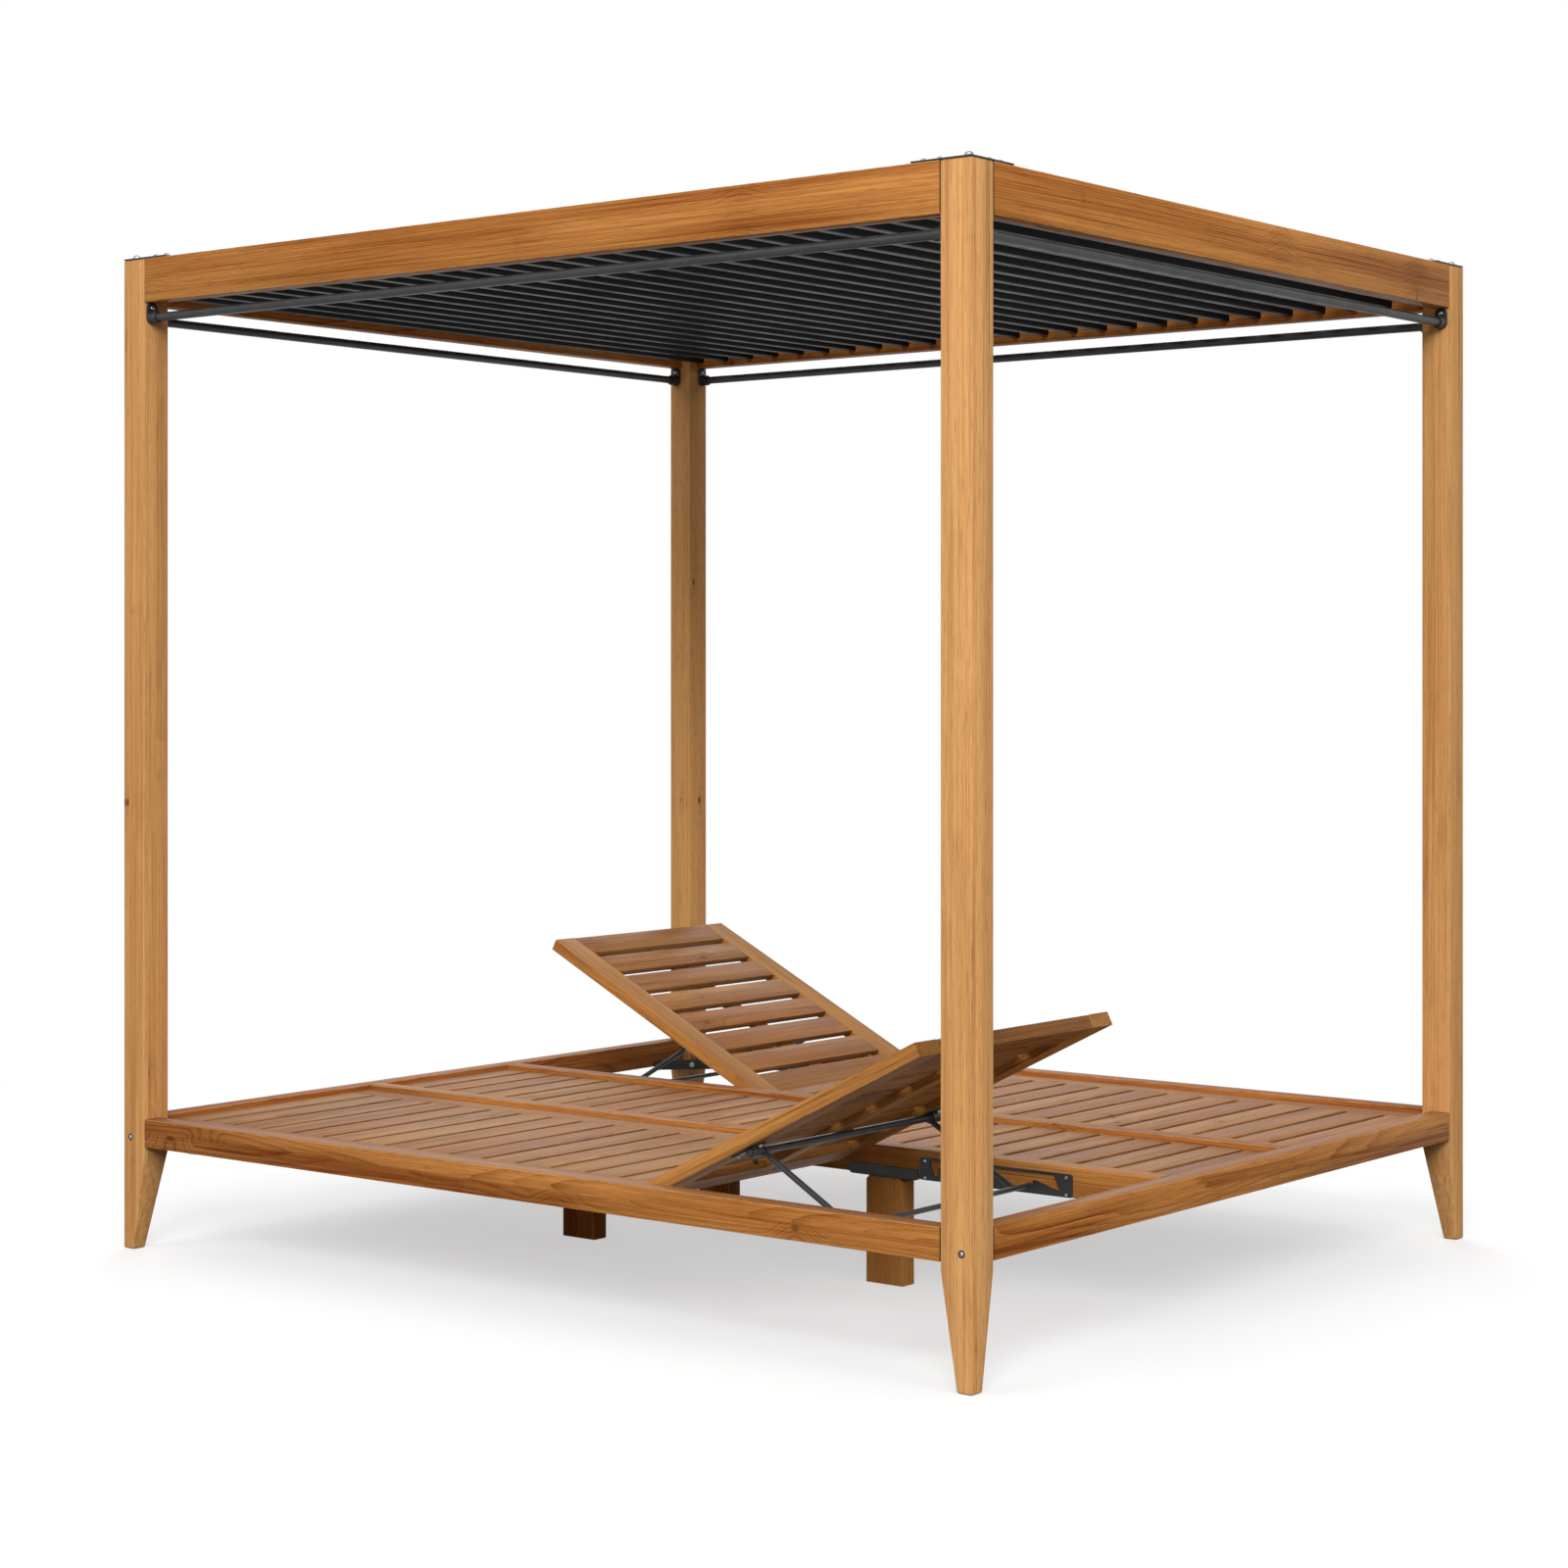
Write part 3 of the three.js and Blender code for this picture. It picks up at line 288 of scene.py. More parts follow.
def new_group(name: str, inputs: Kinds, outputs: Kinds) -> tuple[Bench, dict[str, Socket], Node]:
    """Starts a shader node group with named sockets.

    Args:
        name: The group's name.
        inputs: Input names and their socket types.
        outputs: Output names and their socket types.

    Returns:
        The group's bench, what it is given by name, and its output node.
    """
    tree = bpy.data.node_groups.new(name, "ShaderNodeTree")
    bench = Bench(tree)
    for direction, sockets in (("INPUT", inputs), ("OUTPUT", outputs)):
        for socket, kind in sockets.items():
            tree.interface.new_socket(socket, in_out=direction, socket_type=kind)
    given = bench.add("NodeGroupInput")
    return bench, {socket: given.outputs[socket] for socket in inputs}, bench.add("NodeGroupOutput")


@dataclass(frozen=True)
class Mottle:
    """A stretched noise, spread smoothly over a range."""

    stretch: Point
    detail: float
    roughness: float = 0.5
    low: float = 0.0
    high: float = 1.0
    floor: float = 0.0
    top: float = 1.0

    def noise(self, bench: Bench, place: Socket) -> Node:
        """Adds the noise alone.

        Args:
            bench: The tree's bench.
            place: The place that it varies with.

        Returns:
            The noise's node.
        """
        stretched = bench.vector("MULTIPLY", place, self.stretch)
        values = {"Vector": stretched, "Scale": 1.0, "Detail": self.detail}
        return bench.add("TexNoise", values | {"Roughness": self.roughness})

    def draw(self, bench: Bench, place: Socket) -> Socket:
        """Adds the noise and returns it spread from its floor to its top."""
        noise = self.noise(bench, place).outputs[0]
        return bench.remap(noise, self.low, self.high, self.floor, self.top)


@dataclass(frozen=True)
class TeakGrain:
    """The grain of sawn teak: rings about a wandering pith, fibres, pores, staves and knots."""

    streaks: Mottle = Mottle((2.4, 260.0, 260.0), 3.0, 0.65, 0.30, 0.70, -1.0)
    veins: Mottle = Mottle((1.1, 190.0, 190.0), 2.0, 0.6, 0.58, 0.70)
    bands: Mottle = Mottle((0.8, 60.0, 60.0), 3.0, 0.6, 0.32, 0.68, -1.0)
    pores: Mottle = Mottle((22.0, 520.0, 520.0), 1.0, 0.6, 0.54, 0.68)
    clouds: Mottle = Mottle((0.9, 14.0, 14.0), 2.0, 0.5, 0.36, 0.64, -1.0)
    wander: Mottle = Mottle((0.55, 2.5, 2.5), 2.0)
    wander_reach: Point = (0.0, 0.13, 0.13)
    wobble: Mottle = Mottle((1.6, 30.0, 30.0), 3.0)
    wobble_rings: float = 1.3
    stave_shift: Point = (9.0, 0.0, 0.05)
    knots_along: float = 1.9
    knots_about: float = 1.2
    knot_randomness: float = 0.85
    knot_picks: Pair = (0.66, 0.68)
    knot_length: float = 0.40
    knot_width: float = 0.83
    knot_core: Pair = (0.0085, 0.003)
    knot_swirl: Pair = (0.060, 0.0)
    knot_rings: float = 4.5
    knot_colour: str = "38200F"
    late_wood: float = 2.2
    year_spread: Pair = (0.85, 0.15)
    darkness: float = 0.26
    streak_depth: float = 0.24
    vein_depth: float = 0.34
    band_depth: float = 0.08
    tone_depth: float = 0.22
    swirl_depth: float = 0.20
    pore_depth: float = 0.36
    core_depth: float = 0.85
    streak_relief: float = 0.3
    late_relief: float = -0.5
    pore_relief: float = 0.4

    def build(self) -> bpy.types.NodeTree:
        """Builds the node group.

        Returns:
            The group.
        """
        inputs = dict.fromkeys(("Place", "Board"), VECTOR)
        inputs |= dict.fromkeys(("Pale", "Deep", "Ruddy"), COLOR)
        amounts = ("Ring Width", "Stave Width", "Stave Contrast", "Figure", "Cloud")
        inputs |= dict.fromkeys(amounts, FLOAT)
        outputs = {"Color": COLOR, "Grain": FLOAT, "Height": FLOAT}
        bench, given, made = new_group("teak_grain", inputs, outputs)
        contrast = given["Stave Contrast"]
        tone, warmth, seed = bench.split(given["Board"])

        across = bench.split(given["Place"])[1:]
        counts = [bench.math("DIVIDE", side, given["Stave Width"]) for side in across]
        stave = bench.join(seed, *(bench.math("FLOOR", count) for count in counts))
        chance = bench.add("TexWhiteNoise", {"Vector": stave}, noise_dimensions="3D")
        centred = bench.vector("SUBTRACT", chance.outputs["Color"], (0.5, 0.5, 0.5))
        apart = bench.vector("MULTIPLY", centred, self.stave_shift)
        sawn = bench.vector("ADD", given["Place"], apart)
        wander = self.wander.noise(bench, sawn).outputs["Color"]
        wander = bench.vector("SUBTRACT", wander, (0.5, 0.5, 0.5))
        trunk = bench.vector("ADD", sawn, bench.vector("MULTIPLY", wander, self.wander_reach))
        along, aside, above = bench.split(trunk)
        reach = bench.vector("LENGTH", bench.vector("MULTIPLY", trunk, (0.0, 1.0, 1.0)))
        bearing = bench.math("ARCTAN2", above, aside)

        shares = ((along, self.knots_along), (bearing, self.knots_about))
        spot = bench.join(*(bench.math("MULTIPLY", part, share) for part, share in shares), 0.0)
        values = {"Vector": spot, "Scale": 1.0, "Randomness": self.knot_randomness}
        knots = bench.add("TexVoronoi", values, feature="F1", voronoi_dimensions="2D")
        picked = bench.add("SeparateColor", {0: knots.outputs["Color"]}).outputs[0]
        is_knot = bench.remap(picked, *self.knot_picks)
        gap = bench.split(bench.vector("SUBTRACT", spot, knots.outputs["Position"]))
        length = bench.math("MULTIPLY", gap[0], self.knot_length)
        width = bench.math("MULTIPLY", bench.math("MULTIPLY", gap[1], self.knot_width), reach)
        squares = (bench.math("POWER", side, 2.0) for side in (length, width))
        from_knot = bench.math("SQRT", bench.math("ADD", *squares))
        core = bench.math("MULTIPLY", is_knot, bench.remap(from_knot, *self.knot_core))
        swirl = bench.math("MULTIPLY", is_knot, bench.remap(from_knot, *self.knot_swirl))

        wobble = self.wobble.noise(bench, sawn).outputs[0]
        phase = bench.math("DIVIDE", reach, given["Ring Width"])
        phase = bench.pile(phase, (wobble, self.wobble_rings), (swirl, self.knot_rings))
        year = bench.add("TexWhiteNoise", {"W": bench.math("FLOOR", phase)}, noise_dimensions="1D")
        strength = bench.math("MULTIPLY_ADD", year.outputs["Value"], *self.year_spread)
        late = bench.math("POWER", bench.math("FRACT", phase), self.late_wood)
        late = bench.math("MULTIPLY", late, strength)

        mottles = (self.streaks, self.veins, self.bands, self.pores, self.clouds)
        streak, vein, band, pore, cloud = (mottle.draw(bench, sawn) for mottle in mottles)
        swing = bench.math("SUBTRACT", chance.outputs["Value"], 0.5)
        depth = bench.pile(
            bench.math("MULTIPLY", late, given["Figure"]),
            (streak, self.streak_depth),
            (vein, self.vein_depth),
            (band, self.band_depth),
            (cloud, given["Cloud"]),
            (tone, self.tone_depth),
            (swing, contrast),
            (swirl, self.swirl_depth),
        )
        depth = bench.math("ADD", depth, self.darkness, clamp=True)
        colour = bench.mix(depth, given["Pale"], given["Deep"])
        warmth = bench.math("MULTIPLY_ADD", cloud, given["Cloud"], warmth)
        warmth = bench.pile(warmth, (bench.split(centred)[0], contrast))
        warmth = bench.math("ADD", warmth, 0.0, clamp=True)
        colour = bench.mix(warmth, colour, bench.mix(1.0, colour, given["Ruddy"], "MULTIPLY"))
        colour = bench.mix(bench.math("MULTIPLY", pore, self.pore_depth), colour, given["Deep"])
        knot = bench.math("MULTIPLY", core, self.core_depth)
        colour = bench.mix(knot, colour, linear(self.knot_colour))
        height = bench.math("MULTIPLY", late, self.late_relief)
        height = bench.math("MULTIPLY_ADD", streak, self.streak_relief, height)
        height = bench.math("SUBTRACT", height, bench.math("MULTIPLY", pore, self.pore_relief))
        grain = bench.math("ADD", late, core, clamp=True)
        bench.wire(made, {"Color": colour, "Grain": grain, "Height": height})
        return bench.tree


@dataclass(frozen=True)
class Ageing:
    """What use and weather leave on a surface, with a painted highlight on eased edges and painted
    shade on faces that look up.
    """

    # Patches where eased edges are made paler, as wear and as a painted highlight.
    rubbed_highlight_patches: Mottle = Mottle((22.0, 22.0, 22.0), 3.0, 0.6, 0.34, 0.66)
    # Drifts of the duller, darker colour, which is weathering and painted shade.
    weather_and_shade_drifts: Mottle = Mottle((3.0, 40.0, 40.0), 3.0, 0.6, 0.3, 0.7, 0.72, 1.15)
    handling_marks: Mottle = Mottle((9.0, 9.0, 14.0), 4.0, 0.65, 0.35, 0.75)

    def wear_and_highlight(self) -> bpy.types.NodeTree:
        """Builds the group that makes eased edges paler, as wear and as a painted highlight.

        Returns:
            The group.
        """
        inputs = {"Color": COLOR, "Rubbed And Highlit": COLOR, "Edge": FLOAT, "Amount": FLOAT}
        bench, given, made = new_group("edge_wear_and_highlight", inputs, {"Color": COLOR})
        patches = self.rubbed_highlight_patches.draw(bench, bench.add("TexCoord").outputs["Object"])
        worn_and_highlit = bench.math("MULTIPLY", given["Edge"], patches)
        worn_and_highlit = bench.math("MULTIPLY", worn_and_highlit, given["Amount"])
        bench.wire(made, {"Color": bench.mix(worn_and_highlit, given["Color"], given["Rubbed And Highlit"])})
        return bench.tree

    def weather_and_shade(self) -> bpy.types.NodeTree:
        """Builds the group that dulls and darkens faces that look up, as weathering and as painted
        shade.

        Returns:
            The group.
        """
        inputs = {"Color": COLOR, "Bleached And Shaded": COLOR, "Place": VECTOR, "Top": FLOAT, "Amount": FLOAT}
        bench, given, made = new_group("weathering_and_shade", inputs, {"Color": COLOR})
        drifts = self.weather_and_shade_drifts.draw(bench, given["Place"])
        share = bench.math("MULTIPLY", given["Top"], given["Amount"])
        share = bench.math("MULTIPLY", drifts, share)
        bench.wire(made, {"Color": bench.mix(share, given["Color"], given["Bleached And Shaded"])})
        return bench.tree

    def coat(self) -> bpy.types.NodeTree:
        """Builds the group for the fine orange peel and the faint marks of coated or plain metal.

        Returns:
            The group.
        """
        outputs = {"Height": FLOAT, "Marks": FLOAT}
        bench, given, made = new_group("coat_texture", {"Grit": FLOAT}, outputs)
        place = bench.add("TexCoord").outputs["Object"]
        values = {"Vector": place, "Scale": given["Grit"], "Detail": 2.0, "Roughness": 0.5}
        peel = bench.add("TexNoise", values).outputs[0]
        bench.wire(made, {"Height": peel, "Marks": self.handling_marks.draw(bench, place)})
        return bench.tree


class Effects:
    """The node groups that several finishes share, each built once."""

    def __init__(self) -> None:
        """Builds the groups."""
        ageing = Ageing()
        self.grain = TeakGrain().build()
        self.wear_and_highlight, self.weather_and_shade, self.coat = ageing.wear_and_highlight(), ageing.weather_and_shade(), ageing.coat()


@dataclass(frozen=True)
class TeakFinish:
    """Oiled teak."""

    name: str
    slot: Slot
    pale: str
    deep: str
    ruddy: str
    # The paler colour of eased edges, as wear and as a painted highlight.
    rubbed_and_highlit: str
    ring_width: float
    figure: float
    cloud: float
    smooth: float
    rough: float
    stave_width: float = 1.0
    stave_contrast: float = 0.0
    wear_and_highlight: float = 0.5
    sheen: float = 0.03
    # Faces that look up are dulled and darkened towards this colour, as weathering and as painted
    # shade.
    bleached_and_shaded: str = "785840"
    weathering_and_shade: float = 0.5
    # End grain is darkened towards these in itself; the narrow sides of slats are darkened the same
    # way as painted shade.
    sawn: str = "5F4431"
    end_grain_and_shade_tint: str = "8A8A8A"
    relief: float = 0.35
    relief_depth: float = 0.0004

    def make(self, effects: Effects) -> bpy.types.Material:
        """Builds the material.

        Args:
            effects: The shared node groups.

        Returns:
            The material.
        """
        material, bench = new_material(self.name)
        place = bench.attribute("grain", "Vector")
        values = {
            "Place": place,
            "Board": bench.attribute("board", "Vector"),
            "Pale": linear(self.pale),
            "Deep": linear(self.deep),
            "Ruddy": linear(self.ruddy),
            "Ring Width": self.ring_width,
            "Stave Width": self.stave_width,
            "Stave Contrast": self.stave_contrast,
            "Figure": self.figure,
            "Cloud": self.cloud,
        }
        grain = bench.add("Group", values, node_tree=effects.grain).outputs
        # Eased edges are made paler, as wear and as a painted highlight.
        values = {
            "Color": grain["Color"],
            "Rubbed And Highlit": linear(self.rubbed_and_highlit),
            "Edge": bench.attribute("edge"),
            "Amount": self.wear_and_highlight,
        }
        worn_and_highlit = bench.add("Group", values, node_tree=effects.wear_and_highlight).outputs["Color"]
        # Faces that look up, and the narrow sides of slats, are dulled and darkened, as weathering
        # and as painted shade.
        values = {
            "Color": worn_and_highlit,
            "Bleached And Shaded": linear(self.bleached_and_shaded),
            "Place": place,
            "Top": bench.attribute("top"),
            "Amount": self.weathering_and_shade,
        }
        base = bench.add("Group", values, node_tree=effects.weather_and_shade).outputs["Color"]
        # End grain is darkened in itself; on the narrow sides of slats the same darkening is
        # painted shade.
        end = bench.attribute("end")
        base = bench.mix(end, base, linear(self.sawn))
        base = bench.mix(end, base, bench.mix(1.0, base, linear(self.end_grain_and_shade_tint), "MULTIPLY"))
        bump = {"Strength": self.relief, "Distance": self.relief_depth, "Height": grain["Height"]}
        values = {
            "Base Color": base,
            "Roughness": bench.remap(grain["Grain"], 0.0, 1.0, self.smooth, self.rough),
            "Specular IOR Level": self.sheen,
            "Normal": bench.add("Bump", bump).outputs["Normal"],
        }
        bench.surface(values)
        return material


@dataclass(frozen=True)
class MetalFinish:
    """Powder-coated steel or aluminium, or bare stainless steel, which can have a painted dark
    reflection round its rims.
    """

    name: str
    colour: str
    marked: str
    # The paler colour of eased edges, as wear and as a painted highlight.
    rubbed_and_highlit: str
    smooth: float
    rough: float
    grit: float
    relief: float
    wear_and_highlight: float
    sheen: float = 0.5
    metallic: float = 0.0
    # How far faces that turn away from the view are darkened: a painted dark reflection round the
    # rims.
    rim: float = 0.0
    painted_rim_reflection_colour: str = "1A1A1B"
    painted_rim_reflection_facing: Pair = (0.25, 0.65)
    relief_depth: float = 0.0003
    slot: Slot = Slot.COATED_METAL

    def make(self, effects: Effects) -> bpy.types.Material:
        """Builds the material.

        Args:
            effects: The shared node groups.

        Returns:
            The material.
        """
        material, bench = new_material(self.name)
        coat = bench.add("Group", {"Grit": self.grit}, node_tree=effects.coat).outputs
        # Eased edges are made paler, as wear and as a painted highlight.
        values = {
            "Color": bench.mix(coat["Marks"], linear(self.colour), linear(self.marked)),
            "Rubbed And Highlit": linear(self.rubbed_and_highlit),
            "Edge": bench.attribute("edge"),
            "Amount": self.wear_and_highlight,
        }
        worn_and_highlit = bench.add("Group", values, node_tree=effects.wear_and_highlight).outputs["Color"]
        # Painted dark reflection: faces that turn away from the view are darkened towards the rim
        # colour.
        facing = bench.add("LayerWeight", {"Blend": 0.5}).outputs["Facing"]
        rim = bench.math("MULTIPLY", bench.remap(facing, *self.painted_rim_reflection_facing), self.rim)
        bump = {"Strength": self.relief, "Distance": self.relief_depth, "Height": coat["Height"]}
        values = {
            "Base Color": bench.mix(rim, worn_and_highlit, linear(self.painted_rim_reflection_colour)),
            "Specular IOR Level": self.sheen,
            "Roughness": bench.remap(coat["Marks"], 0.0, 1.0, self.smooth, self.rough),
            "Metallic": self.metallic,
            "Normal": bench.add("Bump", bump).outputs["Normal"],
        }
        bench.surface(values)
        return material


Finish = TeakFinish | MetalFinish

FRAME_TEAK = TeakFinish(
    name="teak_frame",
    slot=Slot.TEAK,
    pale="D4914D",
    deep="76390F",
    ruddy="EFC4A8",
    rubbed_and_highlit="DDA766",
    ring_width=0.0052,
    figure=0.60,
    cloud=0.22,
    smooth=0.42,
    rough=0.58,
)
POST_TEAK = TeakFinish(
    name="teak_post",
    slot=Slot.TEAK,
    pale="E8AE6E",
    deep="9A5E2E",
    ruddy="F2CEB6",
    rubbed_and_highlit="E2B476",
    ring_width=0.0040,
    figure=0.30,
    cloud=0.07,
    smooth=0.44,
    rough=0.60,
    stave_width=0.0213,
    stave_contrast=0.16,
)
SLAT_TEAK = TeakFinish(
    name="teak_slats",
    slot=Slot.TEAK_SLAT,
    pale="CE9350",
    deep="6C3812",
    ruddy="EFC8B0",
    rubbed_and_highlit="D09A5A",
    ring_width=0.0050,
    figure=0.55,
    cloud=0.18,
    smooth=0.42,
    rough=0.56,
)
CHARCOAL_COAT = MetalFinish(
    name="charcoal_coat",
    colour="282929",
    marked="2F3030",
    rubbed_and_highlit="424344",
    smooth=0.36,
    rough=0.5,
    grit=900.0,
    relief=0.12,
    wear_and_highlight=0.35,
    sheen=0.35,
)
LOUVRE_COAT = MetalFinish(
    name="louvre_coat",
    colour="0B0C0D",
    marked="0F1011",
    rubbed_and_highlit="18191A",
    smooth=0.42,
    rough=0.54,
    grit=900.0,
    relief=0.10,
    wear_and_highlight=0.25,
    sheen=0.09,
)
STAINLESS = MetalFinish(
    name="stainless_steel",
    colour="A6A7A7",
    marked="868788",
    rubbed_and_highlit="C8C8C8",
    smooth=0.20,
    rough=0.38,
    grit=1600.0,
    relief=0.05,
    wear_and_highlight=0.3,
    metallic=1.0,
    # A painted dark reflection round the rims of heads and nuts.
    rim=0.85,
)
FINISHES = (FRAME_TEAK, POST_TEAK, SLAT_TEAK, CHARCOAL_COAT, LOUVRE_COAT, STAINLESS)


# Mesh tools


@dataclass
class Board:
    """The board that a timber piece was sawn from."""

    tone: float
    warmth: float
    shift: Vector
    turn: Matrix

    @staticmethod
    def pick(
        chance: random.Random,
        tone: float | None = None,
        warmth: float | None = None,
        tilted: bool = True,
    ) -> Board:
        """Picks a board at random.

        Args:
            chance: The source of random numbers.
            tone: Lightness of the board, from about -1 (pale) to 1 (dark), if it is known.
            warmth: Redness of the board, from 0 to 1, if it is known.
            tilted: False for a timber glued up from staves, whose joints lie square to its faces.

        Returns:
            The board.
        """
        along, reach = chance.uniform(0.0, TRUNK_LENGTH), chance.uniform(*PITH_REACH)
        quarter = chance.choice((0, 1, 2, 3)) * math.pi / 2
        lean = chance.uniform(-TILT, TILT) if tilted else 0.0
        random_tone = chance.uniform(-TONE_REACH, TONE_REACH)
        random_warmth = chance.uniform(0.0, WARMTH_REACH)
        return Board(
            random_tone if tone is None else tone,
            random_warmth if warmth is None else warmth,
            Vector((along, reach, 0.0)),
            Matrix.Rotation(quarter + lean, 3, "X"),
        )


class Draft:
    """A mesh in the making, with the attributes that the finishes read."""

    def __init__(self) -> None:
        """Starts empty."""
        self.points: list[Vector] = []
        self.faces: list[tuple[int, ...]] = []
        self.grain: list[Vector] = []
        self.board: list[Point] = []
        self.edge: list[float] = []
        self.end: list[float] = []
        self.top: list[float] = []

    def absorb(
        self,
        part: Part,
        place: Matrix = Matrix.Identity(4),
        board: Board | None = None,
        fibres: str = "X",
        ends: float = END_DARKNESS,
        flanks: float = 0.0,
    ) -> Draft:
        """Takes over a closed part and frees it.

        Args:
            part: The part, in its own frame.
            place: The matrix that puts it in the daybed's frame.
            board: The board it was sawn from, if it is timber.
            fibres: The part's own axis that its fibres run along.
            ends: How dark the oil has made its end grain, from 0 to 1.
            flanks: How dark its narrow long sides are painted, as shade in the gaps between slats,
                from 0 to 1.

        Returns:
            This draft.
        """
        bmesh.ops.recalc_face_normals(part, faces=part.faces)
        part.normal_update()
        order = {"X": (0, 1, 2), "Y": (1, 0, 2), "Z": (2, 1, 0)}[fibres]
        spin = place.to_3x3()
        start = len(self.points)
        for number, vertex in enumerate(part.verts):
            vertex.index = number
            self.points.append(place @ vertex.co)
            own = Vector([vertex.co[i] for i in order])
            self.grain.append(board.turn @ own + board.shift if board else own)
            self.board.append((board.tone, board.warmth, board.shift.x) if board else ORIGIN)
        for face in part.faces:
            self.faces.append(tuple(start + v.index for v in face.verts))
            self.edge.append(1.0 if face.calc_area() < NARROW_FACE * face.calc_perimeter() else 0.0)
            lengthwise = abs(face.normal["XYZ".index(fibres)])
            # Narrow long sides are darkened as painted shade, for the shade in the gaps between
            # slats.
            sideways = flanks if lengthwise < END_GRAIN and abs(face.normal.z) < LEVEL else 0.0
            sawn = ends * min(1.0, lengthwise * END_GAIN)
            self.end.append(sawn if board and lengthwise > END_GRAIN else sideways)
            flank = PAINTED_FLANK_WEATHERING if sideways else 0.0
            # Faces that look up take the duller, darker colour in full, as weathering and as
            # painted shade.
            self.top.append(1.0 if (spin @ face.normal).z > LEVEL else flank)
        part.free()
        return self

    def finish(self, name: str, material: bpy.types.Material) -> bpy.types.Object:
        """Turns the draft into an object.

        Args:
            name: The object's name.
            material: Its finish.

        Returns:
            The object, linked to the scene.
        """
        mesh = bpy.data.meshes.new(name)
        mesh.from_pydata(self.points, [], self.faces)
        for key in ("grain", "board"):
            flat = [number for vector in getattr(self, key) for number in vector]
            mesh.attributes.new(key, "FLOAT_VECTOR", "POINT").data.foreach_set("vector", flat)
        for key in ("edge", "end", "top"):
            mesh.attributes.new(key, "FLOAT", "FACE").data.foreach_set("value", getattr(self, key))
        mesh.polygons.foreach_set("use_smooth", [True] * len(mesh.polygons))
        mesh.set_sharp_from_angle(angle=FLAT_SHADE_ANGLE)
        mesh.materials.append(material)
        mesh.update()
        return in_scene(name, mesh)


def in_scene(name: str, data: bpy.types.ID) -> bpy.types.Object:
    """Makes an object and links it to the scene.

    Args:
        name: The object's name.
        data: Its mesh, lamp or camera.

    Returns:
        The object.
    """
    made = bpy.data.objects.new(name, data)
    bpy.context.scene.collection.objects.link(made)
    return made


def bevel(part: Part, edges: list, ease: float, steps: int) -> None:
    """Eases some edges of a part."""
    shape = {"offset": ease, "segments": steps, "profile": 0.5}
    bmesh.ops.bevel(part, geom=edges, affect="EDGES", clamp_overlap=True, **shape)


def eased_block(size: Vector, ease: float) -> Part:
    """Makes a box about the origin with eased edges.

    Args:
        size: Its length along each axis.
        ease: The radius of its edges.

    Returns:
        The box.
    """
    part = bmesh.new()
    bmesh.ops.create_cube(part, size=1.0)
    bmesh.ops.scale(part, vec=size, verts=part.verts)
    bevel(part, part.edges[:], min(ease, EASE_SHARE * min(size)), 2)
    return part


def cut_sheet(
    outline: Outline, depth: float, ease: float, holes: Sequence[Outline] = (), steps: int = 1
) -> Part:
    """Makes a flat piece from an outline in X and Y, from z = 0 up to its depth.

    Args:
        outline: The outer edge.
        depth: The thickness.
        ease: The radius of the rims.
        holes: Outlines of the openings.
        steps: The number of facets across a rim.

    Returns:
        The piece.
    """
    part = bmesh.new()
    edges = []
    for loop in (outline, *holes):
        verts = [part.verts.new((x, y, 0.0)) for x, y in loop]
        edges += [part.edges.new((verts[i - 1], verts[i])) for i in range(len(verts))]
    bmesh.ops.triangle_fill(part, use_beauty=True, use_dissolve=False, edges=edges)
    top = bmesh.ops.extrude_face_region(part, geom=part.faces[:])
    moved = [g for g in top["geom"] if isinstance(g, bmesh.types.BMVert)]
    bmesh.ops.translate(part, vec=(0.0, 0.0, depth), verts=moved)
    bmesh.ops.recalc_face_normals(part, faces=part.faces)
    level = [e for e in part.edges if abs(e.verts[0].co.z - e.verts[1].co.z) < depth / 2]
    rims = [e for e in level if len(e.link_faces) == 2 and e.calc_face_angle() > RIM_ANGLE]
    bevel(part, rims, ease, steps)
    return part


def lofted(rings: Sequence[Sequence[Point]], hollow: bool = False) -> Part:
    """Joins rings of as many points each into a closed skin.

    Args:
        rings: The rings in order.
        hollow: True if the last ring joins the first, as in a tube with a bore.

    Returns:
        The skin.
    """
    part = bmesh.new()
    rows = [[part.verts.new(p) for p in ring] for ring in rings]
    pairs = list(zip(rows, rows[1:])) + ([(rows[-1], rows[0])] if hollow else [])
    for low, high in pairs:
        for i in range(len(low)):
            part.faces.new((low[i - 1], low[i], high[i], high[i - 1]))
    if not hollow:
        part.faces.new(rows[0])
        part.faces.new(rows[-1])
    return part


def arc(start: float, stop: float, steps: int) -> list[float]:
    """Splits an arc, given in quarter turns, into even turns, both ends included."""
    return [math.pi / 2 * (start + (stop - start) * i / steps) for i in range(steps + 1)]


def bend(radius: float, turns: Iterable[float], x: float = 0.0, y: float = 0.0) -> Outline:
    """Places points at some turns of a circle about a middle."""
    return [(x + radius * math.cos(a), y + radius * math.sin(a)) for a in turns]


def circle(radius: float, height: float, sides: int) -> list[Point]:
    """Places points on a circle about Z at a height."""
    return [(x, y, height) for x, y in bend(radius, (math.tau * i / sides for i in range(sides)))]


def turned(profile: Sequence[Pair], sides: int, hollow: bool = False) -> Part:
    """Makes a turned piece about Z from pairs of radius and height."""
    return lofted([circle(r, z, sides) for r, z in profile], hollow)


def tube_profile(bore: float, radius: float, half: float, ease: float) -> Outline:
    """Gives the profile of a tube with eased rims, centred on the origin."""
    return [(bore, -half), *bar_profile(radius, half, ease), (bore, half)]


def bar_profile(radius: float, half: float, ease: float) -> Outline:
    """Gives the profile of a bar with eased ends, centred on the origin."""
    rim = radius - ease
    return [(rim, -half), (radius, -half + ease), (radius, half - ease), (rim, half)]


